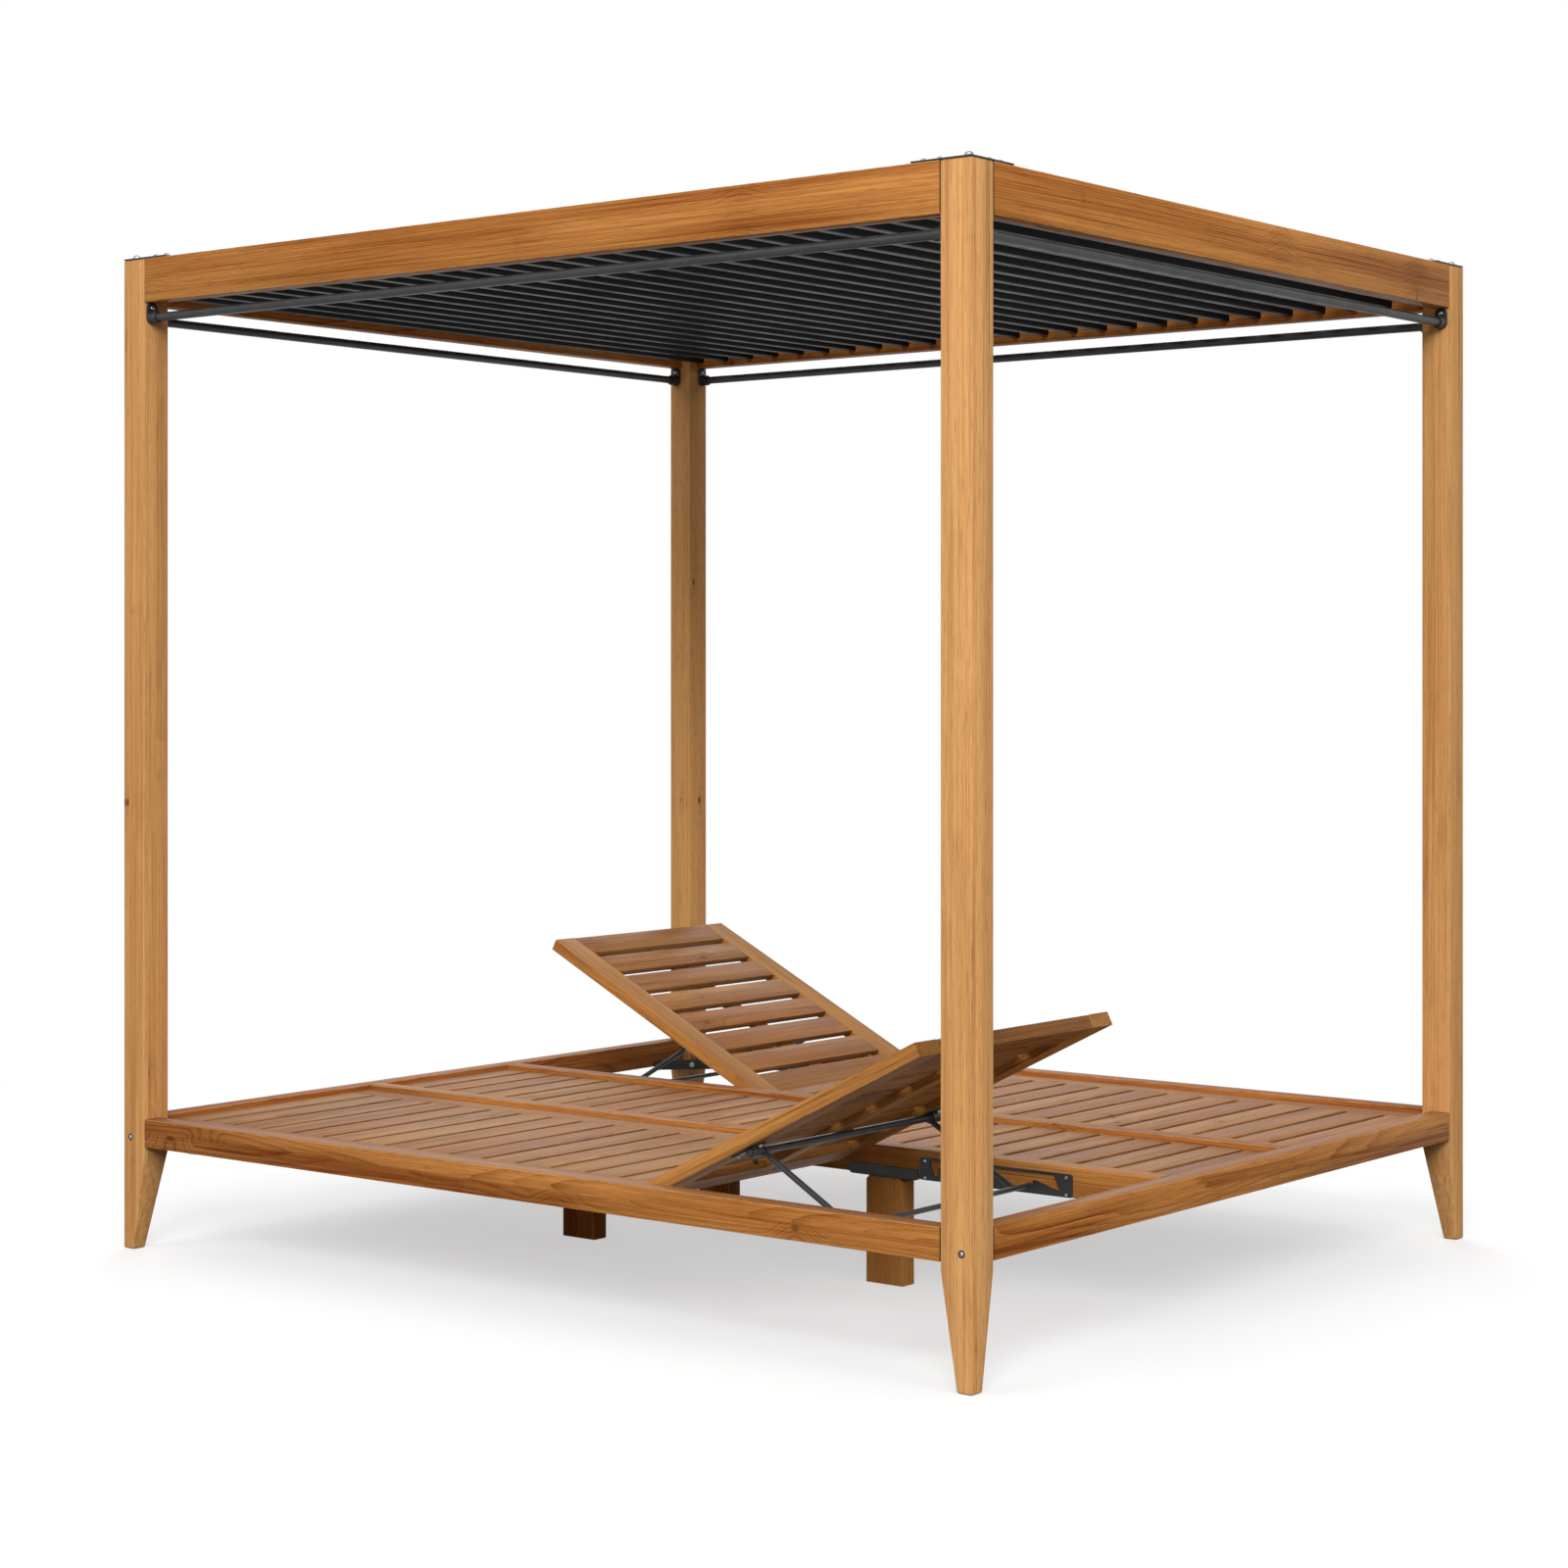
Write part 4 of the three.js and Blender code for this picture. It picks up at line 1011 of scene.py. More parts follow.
def round_bar(length: float, radius: float, ease: float, sides: int = BAR_SIDES) -> Part:
    """Makes a bar along Z, centred on the origin, with eased ends."""
    return turned(bar_profile(radius, length / 2, ease), sides)


def rounded_rectangle(width: float, height: float, radius: float, steps: int) -> Outline:
    """Places the points of a rectangle with round corners about the origin.

    Args:
        width: Its size along X.
        height: Its size along Y.
        radius: The radius of its corners.
        steps: The number of facets round a corner.

    Returns:
        The points, from the corner at +X and +Y on.
    """
    points: Outline = []
    for corner, (sx, sy) in enumerate(((1, 1), (-1, 1), (-1, -1), (1, -1))):
        x, y = sx * (width / 2 - radius), sy * (height / 2 - radius)
        points += bend(radius, arc(corner, corner + 1, steps), x, y)
    return points


def aim(point: Sequence[float], direction: Sequence[float], spin: float = 0.0) -> Matrix:
    """Gives the matrix that spins a piece about its Z, and aims its Z from a point."""
    turn = Vector(UP).rotation_difference(Vector(direction)).to_matrix().to_4x4()
    return shift(point) @ turn @ Matrix.Rotation(spin, 4, "Z")


@dataclass(frozen=True)
class ScrewHead:
    """A domed screw head that stands on z = 0, with its recess."""

    radius: float
    height: float
    drive: Drive
    foot_share: float = 0.97
    foot_rise_share: float = 0.1
    dome_turns: tuple[float, ...] = tuple(math.pi / 2 * step / 7 for step in range(1, 6))
    reach_shares: Pair = (0.46, 0.5)
    lip_shares: Pair = (1.08, 0.02)
    mouth_shares: Pair = (1.0, -0.05)
    floor_shares: Pair = (0.86, 0.28)
    arm_turn: float = 0.2
    arm_taper: float = 0.75
    cross_core: float = 0.26

    def recess(self, reach: float, height: float) -> list[Point]:
        """Places the rim of the recess, on as many points as the head has.

        Args:
            reach: Its largest radius.
            height: Its height.

        Returns:
            The rim's points.
        """
        ring, sixth, quarter = [], math.pi / 3, math.pi / 2
        for i in range(HEAD_SIDES):
            turn = math.tau * i / HEAD_SIDES
            if self.drive is Drive.HEX:
                local = (turn + sixth / 2) % sixth - sixth / 2
                radius = reach * math.cos(sixth / 2) / math.cos(local)
            else:
                local = abs((turn + quarter / 2) % quarter - quarter / 2)
                radius = reach
                if local >= self.arm_turn:
                    radius *= max(self.cross_core, self.arm_turn / math.sin(local) * self.arm_taper)
            ring.append((radius * math.cos(turn), radius * math.sin(turn), height))
        return ring

    def build(self) -> Part:
        """Makes the head.

        Returns:
            The head.
        """
        radius, height = self.radius, self.height
        rings = [circle(radius * self.foot_share, 0.0, HEAD_SIDES)]
        rings.append(circle(radius, height * self.foot_rise_share, HEAD_SIDES))
        for turn in self.dome_turns:
            rings.append(circle(radius * math.cos(turn), height * math.sin(turn), HEAD_SIDES))
        top = rings[-1][0][2]
        reach = radius * self.reach_shares[self.drive is Drive.CROSS]
        for share, rise in (self.lip_shares, self.mouth_shares):
            rings.append(self.recess(reach * share, top + height * rise))
        share, level = self.floor_shares
        rings.append(self.recess(reach * share, height * level))
        return lofted(rings)


@dataclass(frozen=True)
class CapNut:
    """A low cap nut that stands on z = 0: a flange, six flats and a round cap."""

    radius: float
    height: float
    flange_shares: tuple[Pair, ...] = ((0.97, 0.0), (1.0, 0.06), (0.97, 0.16))
    reach_share: float = 0.98
    base_share: float = 0.42
    skirt_share: float = 0.12
    ease_shares: Pair = (0.9, 0.94)
    neck_shares: Pair = (0.87, 0.8)
    dome_share: float = 0.86
    dome_steps: int = 8

    def build(self) -> list[Part]:
        """Makes the nut.

        Returns:
            The flange, the flats and the cap.
        """
        reach, base = self.radius * self.reach_share, self.height * self.base_share
        flange = [(self.radius * a, self.height * b) for a, b in self.flange_shares]
        rise, inset = self.ease_shares
        flats = [(reach, self.height * self.skirt_share), (reach, base * rise)]
        flats.append((reach * inset, base))
        cap = [(reach * self.neck_shares[0], base * self.neck_shares[1])]
        for x, y in bend(1.0, arc(0, 1, self.dome_steps)[:-1]):
            cap.append((reach * self.dome_share * x, base + y * (self.height - base)))
        return [turned(flange, TUBE_SIDES), turned(flats, 6), turned(cap, TUBE_SIDES)]


def box_of(node: str) -> tuple[Vector, Vector, Vector, Vector]:
    """Gives a node's low corner, high corner, middle and size."""
    low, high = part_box(node)
    return low, high, (low + high) / 2, high - low


Tones = dict[str, Pair]


def tone_table(**tones: Pair) -> Tones:
    """Makes a dataclass field that holds the tone and the warmth of each timber."""
    return field(default_factory=lambda: dict(tones))


@dataclass
class Workshop:
    """Makes the pieces' objects and seats them on the frame."""

    finishes: dict[str, bpy.types.Material]
    joints: dict[str, Vector]
    chance: random.Random = field(default_factory=lambda: random.Random(SEED))
    made: list[str] = field(default_factory=list)

    def place(
        self,
        draft: Draft,
        name: str,
        finish: Finish,
        node: str = "",
        body: str = FRAME_BODY,
        slot: Slot | None = None,
    ) -> None:
        """Turns a draft into a piece that rides on a body and stands for its node.

        Args:
            draft: The piece's mesh.
            name: The piece's name.
            finish: Its finish.
            node: The node that it stands for, if it does.
            body: The body that it rides on.
            slot: The record's slot of a piece that stands for no node, if it has one; not used.
        """
        piece = draft.finish(name, self.finishes[finish.name])
        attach(piece, body)
        slot = finish.slot if node else slot
        if node:
            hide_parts(node)
        self.made.append(name)
        LOG.info("%s: %d faces on %s", name, len(piece.data.polygons), body)

    def screws(
        self, name: str, seats: Iterable[Matrix], head: ScrewHead, body: str = FRAME_BODY
    ) -> None:
        """Adds a set of screw heads.

        Args:
            name: The set's name.
            seats: Where each head stands.
            head: The shape of the heads.
            body: The body that it rides on.
        """
        draft = Draft()
        for seat in seats:
            spin = Matrix.Rotation(self.chance.uniform(0.0, math.tau), 4, "Z")
            draft.absorb(head.build(), seat @ spin)
        self.place(draft, name, STAINLESS, body=body)


# Sub-assemblies


CORNERS = {
    "front_right": (1, -1),
    "front_left": (-1, -1),
    "back_right": (1, 1),
    "back_left": (-1, 1),
}


@dataclass
class Corner:
    """One corner of the daybed: its signs along X and Y, and the box of a node there."""

    sx: int
    sy: int
    low: Vector
    high: Vector

    @property
    def point(self) -> Vector:
        """Finds the outer lower corner of the node.

        Returns:
            Its place.
        """
        x = self.high.x if self.sx > 0 else self.low.x
        y = self.high.y if self.sy > 0 else self.low.y
        return Vector((x, y, self.low.z))

    def inward(self, points: Iterable[Pair]) -> Outline:
        """Turns distances inward from the corner into places."""
        return [(self.point.x - self.sx * x, self.point.y - self.sy * y) for x, y in points]


def corners_of(family: str) -> Iterable[tuple[str, str, Corner]]:
    """Goes round the four nodes of a family.

    Args:
        family: The start of the nodes' names.

    Yields:
        The corner's name, the node's name and the corner.
    """
    for name, (sx, sy) in CORNERS.items():
        node = f"{family}_{name}"
        yield name, node, Corner(sx, sy, *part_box(node))


@dataclass
class Posts:
    """The four posts with their tapered feet, and the bolts of the deck's end rails, each with a
    thin dark ring of painted shade for its recess.
    """

    shop: Workshop
    half_depth: float = 0.910
    foot: float = 0.031
    taper: float = 0.200
    ease: float = 0.0022
    bolt_height: float = 0.232
    bolt_inset: float = 0.021
    bolt: ScrewHead = ScrewHead(0.0044, 0.0029, Drive.HEX)
    top_ease_share: float = 0.8
    # A thin dark ring round each bolt head: painted shade for the shadow in a recess.
    shade_ring_radii: Pair = (0.004565, 0.006875)
    shade_ring_rise: float = 0.0007
    shade_ring_ease: float = 0.0003
    tones: Tones = tone_table(
        front_right=(-0.7, 0.0),
        front_left=(-0.45, 0.0),
        back_right=(-0.45, 0.0),
        back_left=(-1.2, 0.0),
    )

    def build(self) -> None:
        """Builds the posts, their bolts and the thin dark rings of painted shade round the bolts.
        """
        for name, node, corner in corners_of("post"):
            side, top, ease = corner.high.x - corner.low.x, corner.high.z, self.ease
            levels = (
                (self.foot, 0.0, ease),
                (self.foot, ease, 0.0),
                (side, self.taper, 0.0),
                (side, top - ease, 0.0),
                (side, top, ease * self.top_ease_share),
            )
            rings = []
            for size, height, inset in levels:
                x, y = corner.sx * (side - size) / 2, corner.sy * (side - size) / 2
                outline = rounded_rectangle(size - 2 * inset, size - 2 * inset, ease, 2)
                rings.append([(x + a, y + b, height) for a, b in outline])
            edge = Vector((corner.point.x, corner.sy * self.half_depth, 0.0))
            half_x, half_y = corner.sx * side / 2, corner.sy * side / 2
            place = shift((edge.x - half_x, edge.y - half_y, 0.0))
            board = Board.pick(self.shop.chance, *self.tones[name], tilted=False)
            timber = Draft().absorb(lofted(rings), place, board, "Z")
            self.shop.place(timber, f"{node}_timber", POST_TEAK, node)
            spot = (edge.x - corner.sx * self.bolt_inset, edge.y, self.bolt_height)
            seat = aim(spot, (0, corner.sy, 0))
            self.shop.screws(f"{node}_bolt", [seat], self.bolt)
            # A thin dark ring round the bolt head is painted shade, for the shadow in a recess.
            (inner, rim), rise = self.shade_ring_radii, self.shade_ring_rise
            profile = [(inner, 0.0), (rim, 0.0), (rim, rise - self.shade_ring_ease)]
            profile += [(rim - self.shade_ring_ease, rise), (inner, rise)]
            ring = Draft().absorb(turned(profile, TUBE_SIDES, hollow=True), seat)
            self.shop.place(ring, f"{node}_bolt_shade_ring", CHARCOAL_COAT, slot=Slot.COATED_METAL)


@dataclass
class StraightTimbers:
    """Beams, deck rails and dividers: straight planks as the frame gives them."""

    shop: Workshop
    ease: float = 0.0020
    tones: Tones = tone_table(
        beam_front=(0.05, 0.0),
        beam_back=(-0.1, 0.2),
        beam_left=(-0.5, 0.2),
        beam_right=(-0.15, 0.0),
        rail_front=(0.6, 0.15),
        rail_back=(0.3, 0.3),
        rail_left=(0.4, 0.3),
        rail_right=(0.85, 0.0),
        divider_front=(0.0, 0.1),
        divider_back=(0.1, 0.2),
    )

    def build(self) -> None:
        """Builds each timber."""
        for node, tone in self.tones.items():
            _, _, middle, size = box_of(node)
            board = Board.pick(self.shop.chance, *tone)
            fibres = "X" if size.x > size.y else "Y"
            plank = eased_block(size, self.ease)
            draft = Draft().absorb(plank, shift(middle), board, fibres, ends=1.0)
            self.shop.place(draft, f"{node}_timber", FRAME_TEAK, node)


@dataclass
class CornerPlates:
    """The L-shaped plates on the posts' tops, with their domed screws."""

    shop: Workshop
    beam: float = 0.038
    post: float = 0.064
    ease: float = 0.0007
    screw_inset: float = 0.014
    screw: ScrewHead = ScrewHead(0.0063, 0.0063, Drive.HEX)
    nut: CapNut = CapNut(0.0088, 0.0093)
    nut_spin: float = 0.3

    def build(self) -> None:
        """Builds the plates, screws and cap nuts."""
        beam, post, inset, middle = self.beam, self.post, self.screw_inset, self.beam / 2
        for _, node, corner in corners_of("corner_plate"):
            reach_x, reach_y = corner.high.x - corner.low.x, corner.high.y - corner.low.y
            points = [(0.0, 0.0), (reach_x, 0.0), (reach_x, beam), (post, beam), (post, post)]
            points += [(beam, post), (beam, reach_y), (0.0, reach_y)]
            sheet = cut_sheet(corner.inward(points), SHEET, self.ease)
            draft = Draft().absorb(sheet, shift((0, 0, corner.low.z)))
            self.shop.place(draft, f"{node}_sheet", CHARCOAL_COAT, node)
            spots = [(reach_x - inset, middle), (post + inset, middle), (middle, reach_y - inset)]
            spots += [(middle, post + inset), (middle, middle)]
            *seats, seat = [(x, y, corner.low.z + SHEET) for x, y in corner.inward(spots)]
            self.shop.screws(f"{node}_screws", [aim(s, UP) for s in seats], self.screw)
            nut = Draft()
            for part in self.nut.build():
                nut.absorb(part, aim(seat, UP, self.nut_spin * corner.sx))
            self.shop.place(nut, f"{node}_nut", STAINLESS)


@dataclass
class LouvreBank:
    """The canopy's blades of rectangular tube and the strips that carry them."""

    shop: Workshop
    count: int = 26
    width: float = 0.022
    height: float = 0.050
    wall: float = 0.0016
    corner: float = 0.0018
    strip: float = 0.003
    strip_height: float = 0.030
    strip_ease: float = 0.0005
    step: float = 0.001

    def build(self) -> None:
        """Builds the blades and strips."""
        low, high, _, size = box_of("louvre_bank")
        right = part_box("beam_right")[0].x
        reach, z = high.y - self.step, low.z + self.height / 2
        outer = rounded_rectangle(self.width, self.height, self.corner, 2)
        bore = (self.width - 2 * self.wall, self.height - 2 * self.wall)
        inner = rounded_rectangle(*bore, self.corner / 2, 2)
        ends = ((outer, -reach), (outer, reach), (inner, reach), (inner, -reach))
        draft = Draft()
        for i in range(self.count):
            x = -right + (i + 0.5) * 2 * right / self.count
            rings = [[(x + a, y, z + b) for a, b in outline] for outline, y in ends]
            draft.absorb(lofted(rings, hollow=True))
        strip_z = high.z - self.step - self.strip_height / 2
        for side in (-1, 1):
            middle = (0, side * (high.y - self.strip / 2), strip_z)
            strip = eased_block(Vector((size.x, self.strip, self.strip_height)), self.strip_ease)
            draft.absorb(strip, shift(middle))
        self.shop.place(draft, "louvre_blades", LOUVRE_COAT, "louvre_bank")


@dataclass
class CurtainRods:
    """The curtain rods under the beams, and the brackets that hold their ends."""

    shop: Workshop
    wall: float = 0.0012
    rod_ease: float = 0.0004
    plate_width: float = 0.028
    plate_thickness: float = 0.004
    plate_ease: float = 0.0012
    socket: float = 0.0125
    socket_flare: float = 0.0016
    socket_ease: float = 0.0009
    fit: float = 0.0003
    collar_share: float = 0.6
    screw_share: float = 0.25
    screw: ScrewHead = ScrewHead(0.0048, 0.0026, Drive.CROSS)
    arc_steps: int = 14

    def build(self) -> None:
        """Builds the rods and brackets."""
        across, lengthwise = (("left", "right"), X_AXIS), (("front", "back"), Y_AXIS)
        runs = {"front": across, "back": across, "left": lengthwise, "right": lengthwise}
        for name, (ends, axis) in runs.items():
            _, _, middle, size = box_of(f"curtain_rod_{name}")
            radius, along = size.z / 2, Vector(axis)
            profile = tube_profile(radius - self.wall, radius, max(size) / 2, self.rod_ease)
            draft = Draft().absorb(turned(profile, TUBE_SIDES, hollow=True), aim(middle, along))
            self.shop.place(draft, f"curtain_rod_{name}_tube", CHARCOAL_COAT, f"curtain_rod_{name}")
            for sign, end in zip((-1, 1), ends):
                self.bracket(f"rod_bracket_{name}_at_{end}", middle, along * sign, radius)

    def bracket(self, node: str, rod: Vector, outward: Vector, rod_radius: float) -> None:
        """Builds one bracket: a plate with round ends, a collar and a screw.

        Args:
            node: The node that it stands for.
            rod: The middle of the rod.
            outward: The direction from the rod's middle to this end.
            rod_radius: The rod's radius.
        """
        low, high, _, size = box_of(node)
        wall = high if outward.x + outward.y > 0 else low
        face = Vector([wall[i] if abs(outward[i]) > 0.5 else rod[i] for i in range(3)])
        mouth = max(size.x, size.y, key=lambda length: abs(length - self.plate_width))
        rise, radius = size.z - self.plate_width, self.plate_width / 2
        outline = bend(radius, arc(0, 2, self.arc_steps), 0.0, rise)
        outline += bend(radius, arc(2, 4, self.arc_steps))
        sideways = Vector(UP).cross(-outward)
        place = shift(face) @ Matrix((sideways, Vector(UP), -outward)).transposed().to_4x4()
        plate = cut_sheet(outline, self.plate_thickness, self.plate_ease, steps=2)
        draft = Draft().absorb(plate, place)
        bore, ease = rod_radius + self.fit, self.socket_ease
        base = self.plate_thickness * self.collar_share
        profile = [
            (bore, base),
            (self.socket + self.socket_flare, base),
            (self.socket, self.plate_thickness + self.socket_flare),
            (self.socket, mouth - ease),
            (self.socket - ease, mouth),
            (bore + ease, mouth),
            (bore, mouth - ease),
        ]
        draft.absorb(turned(profile, TUBE_SIDES, hollow=True), place)
        self.shop.place(draft, f"{node}_casting", CHARCOAL_COAT, node)
        seat = place @ shift((0, rise + radius * self.screw_share, self.plate_thickness))
        self.shop.screws(f"{node}_screw", [seat], self.screw)


@dataclass
class CornerBrackets:
    """The bent strips across the deck's corners, with their hanger bolts."""

    shop: Workshop
    flange: float = 0.026
    reach: float = 0.108
    bolt_radius: float = 0.004
    bolt_ease: float = 0.0008
    bolt_gap: float = 0.0003
    nut_radius: float = 0.0075
    nut_height: float = 0.007
    nut_shares: tuple[Pair, ...] = ((0.93, 1.0), (1.0, 0.88))
    nut_ease: float = 0.0006
    nut_foot_share: float = 0.95
    nut_sink_share: float = 0.2
    post_corner: Pair = (1.006, 0.846)

    def build(self) -> None:
        """Builds the brackets."""
        reach, flange, radius, height = self.reach, self.flange, self.nut_radius, self.nut_height
        for _, node, corner in corners_of("corner_bracket"):
            points = [(0.0, reach + flange), (0.0, reach), (reach, 0.0), (reach + flange, 0.0)]
            points += [(reach + flange, SHEET), (reach + SHEET, SHEET)]
            points += [(SHEET, reach + SHEET), (SHEET, reach + flange)]
            low, high = corner.low.z, corner.high.z
            strip = cut_sheet(corner.inward(points), high - low, SHEET_EASE)
            draft = Draft().absorb(strip, shift((0, 0, low)))
            self.shop.place(draft, f"{node}_strip", CHARCOAL_COAT, node)
            ((x, y),) = corner.inward([(reach / 2, reach / 2)])
            centre = Vector((x, y, (low + high) / 2))
            outward = Vector((corner.sx, corner.sy, 0)).normalized()
            post_x, post_y = self.post_corner
            post = Vector((corner.sx * post_x, corner.sy * post_y, centre.z))
            start, stop = -height - SHEET, (post - centre).dot(outward) - self.bolt_gap
            bar = round_bar(stop - start, self.bolt_radius, self.bolt_ease, ROD_SIDES)
            bolt = Draft().absorb(bar, aim(centre + outward * ((start + stop) / 2), outward))
            nut = [(radius * a, -height * b) for a, b in self.nut_shares]
            nut += [(radius, -self.nut_ease), (radius * self.nut_foot_share, 0.0)]
            seat = aim(centre - outward * SHEET * self.nut_sink_share, outward)
            bolt.absorb(turned(nut, 6), seat)
            self.shop.place(bolt, f"{node}_bolt", STAINLESS)


@dataclass
class SupportLegs:
    """The boards that hold up the dividers, and the steel angles that fix them."""

    shop: Workshop
    cut: float = 0.007
    ease: float = 0.002
    angle_corner: float = 0.007
    angle_ease: float = 0.0007
    shelf_ease: float = 0.0008
    arc_steps: int = 6
    # The front right board's very pale tone is painted light and the front left board's dark tone
    # is painted shade, for the light and the shade where they stand under the deck.
    tones: Tones = tone_table(
        front_right=(-3.0, 0.0), front_left=(1.8, 0.3), back_right=(0.0, 0.2), back_left=(0.1, 0.1)
    )

    def build(self) -> None:
        """Builds the boards and angles."""
        for name, node, corner in corners_of("support_leg"):
            low, high, cut = corner.low, corner.high, self.cut
            width, height = high.x - low.x, high.z - low.z
            points = [(0.0, 0.0), (width, 0.0), (width, height - cut), (width - cut, height)]
            points += [(cut, height), (0.0, height - cut)]
            place = shift((low.x, high.y, low.z)) @ UPRIGHT
            board = Board.pick(self.shop.chance, *self.tones[name])
            timber = cut_sheet(points, high.y - low.y, self.ease, steps=2)
            draft = Draft().absorb(timber, place, board, "Y")
            self.shop.place(draft, f"{node}_timber", FRAME_TEAK, node)
            self.angle(f"leg_angle_{name}", corner.sy)

    def angle(self, node: str, sign: int) -> None:
        """Builds one steel angle, with the lower corners of its upright rounded.

        Args:
            node: The node that it stands for.
            sign: The side of the divider that it lies on.
        """
        low, high, middle, size = box_of(node)
        half, radius = size.x / 2, self.angle_corner
        outline = [(half, size.z), (-half, size.z)]
        outline += bend(radius, arc(2, 3, self.arc_steps), -half + radius, radius)
        outline += bend(radius, arc(3, 4, self.arc_steps), half - radius, radius)
        y = high.y if sign > 0 else low.y + SHEET
        place = shift((middle.x, y, low.z)) @ UPRIGHT
        draft = Draft().absorb(cut_sheet(outline, SHEET, self.angle_ease), place)
        shelf = eased_block(Vector((size.x - 2 * radius, size.y, SHEET)), self.shelf_ease)
        draft.absorb(shelf, shift((middle.x, middle.y, low.z + SHEET / 2)))
        self.shop.place(draft, f"{node}_steel", CHARCOAL_COAT, node)


@dataclass
class SlattedPanel:
    """Slats across two stiles, with thicker end boards and a batten underneath, along X from 0."""

    shop: Workshop
    count: int
    gap: float = 0.014
    stile: float = 0.064
    board: float = 0.026
    slat: float = 0.013
    batten: float = 0.044
    ease: float = 0.0022
    batten_ease: float = 0.001
    joint: float = 0.0003
    raised_stile: Pair = (-0.9, 0.1)
    nose_steps: int = 12

    def plank(
        self, draft: Draft, turn: Matrix, middle: Point, size: Point, fibres: str, **looks: float
    ) -> None:
        """Adds one plank from a board picked at random.

        Args:
            draft: The draft.
            turn: The matrix from the panel's frame to the daybed's frame.
            middle: The plank's middle.
            size: Its size along each axis.
            fibres: The axis that its fibres run along.
            **looks: The ease of its edges and the painted shade on its narrow sides, where unusual.
        """
        block = eased_block(Vector(size), looks.get("ease", self.ease))
        place = turn @ shift(middle)
        board, flanks = Board.pick(self.shop.chance), looks.get("flanks", 0.0)
        draft.absorb(block, place, board, fibres, flanks=flanks)

    def fill(
        self, draft: Draft, length: float, width: float, turn: Matrix, rounded: bool = False
    ) -> None:
        """Adds the panel's boards, with their tops at z = 0.

        Args:
            draft: The draft.
            length: The panel's length along X.
            width: Its width along Y.
            turn: The matrix from the panel's frame to the daybed's frame.
            rounded: True if the end at x = 0 is rounded over about the board's middle.
        """
        board_width = (length - (self.count - 1) * self.gap) / self.count
        for side in (-1, 1):
            y = side * (width - self.stile) / 2
            if rounded:
                board = Board.pick(self.shop.chance, *self.raised_stile)
                self.add_nosed(draft, length, y, self.stile, turn, board, "X")
            else:
                size = (length, self.stile, self.board)
                self.plank(draft, turn, (length / 2, y, -self.board / 2), size, "X")
        inner = width - 2 * self.stile - 2 * self.joint
        for i in range(self.count):
            if rounded and i == 0:
                board = Board.pick(self.shop.chance)
                self.add_nosed(draft, board_width, 0.0, inner, turn, board, "Z")
                continue
            is_end = i in (0, self.count - 1)
            thickness = self.board if is_end else self.slat
            middle = (i * (board_width + self.gap) + board_width / 2, 0.0, -thickness / 2)
            # The narrow sides of slats are darkened as painted shade, for the shade in the gaps
            # between them.
            flanks = PAINTED_THICK_FLANK_SHADE if is_end else PAINTED_FLANK_SHADE
            self.plank(draft, turn, middle, (board_width, inner, thickness), "Y", flanks=flanks)
        middle = (length / 2, 0.0, -(self.slat + self.board) / 2)
        size = (length - board_width, self.batten, self.board - self.slat)
        self.plank(draft, turn, middle, size, "X", ease=self.batten_ease)

    def add_nosed(
        self,
        draft: Draft,
        length: float,
        y: float,
        width: float,
        turn: Matrix,
        board: Board,
        fibres: str,
    ) -> None:
        """Adds a board whose end at x = 0 is rounded over.

        Args:
            draft: The draft.
            length: The board's length along X, from the middle of its rounding.
            y: Its middle along Y.
            width: Its width along Y.
            turn: The matrix from the panel's frame to the daybed's frame.
            board: The board that it was sawn from.
            fibres: The axis of the upright outline that its fibres run along, X or Z.
        """
        radius = self.board / 2
        outline = bend(radius, arc(1, 3, self.nose_steps)) + [(length, -radius), (length, radius)]
        upright = shift((0.0, y + width / 2, -radius)) @ UPRIGHT
        draft.absorb(cut_sheet(outline, width, self.ease, steps=2), turn @ upright, board, fibres)


@dataclass
class Seats:
    """The fixed seats of both lounges and the slats of the centre bay."""

    shop: Workshop
    seat_boards: int = 15
    centre_boards: int = 25
    batten_offset: float = 0.130

    def build(self) -> None:
        """Builds the panels."""
        low, _, middle, size = box_of("seat_panel_front")
        for side in Side:
            node = f"seat_panel_{side.value}"
            draft = Draft()
            place = side.turn @ shift((low.x, middle.y, low.z + size.z))
            SlattedPanel(self.shop, self.seat_boards).fill(draft, size.x, size.y, place)
            self.shop.place(draft, f"{node}_timber", SLAT_TEAK, node)
        self.centre()

    def centre(self) -> None:
        """Builds the slats of the centre bay on their two battens."""
        low, high, _, size = box_of("centre_panel")
        panel = SlattedPanel(self.shop, self.centre_boards)
        slat_width = (size.x - (panel.count - 1) * panel.gap) / panel.count
        draft, still = Draft(), Matrix.Identity(4)
        for i in range(panel.count):
            x = low.x + i * (slat_width + panel.gap) + slat_width / 2
            middle, slat = (x, 0.0, high.z - panel.slat / 2), (slat_width, size.y, panel.slat)
            # The narrow sides of slats are darkened as painted shade, for the shade in the gaps
            # between them.
            panel.plank(draft, still, middle, slat, "Y", flanks=PAINTED_FLANK_SHADE)
        height = size.z - panel.slat
        for side in (-1, 1):
            middle = (0.0, side * self.batten_offset, low.z + height / 2)
            panel.plank(draft, still, middle, (size.x, panel.batten, height), "X")
        self.shop.place(draft, "centre_panel_timber", SLAT_TEAK, "centre_panel")


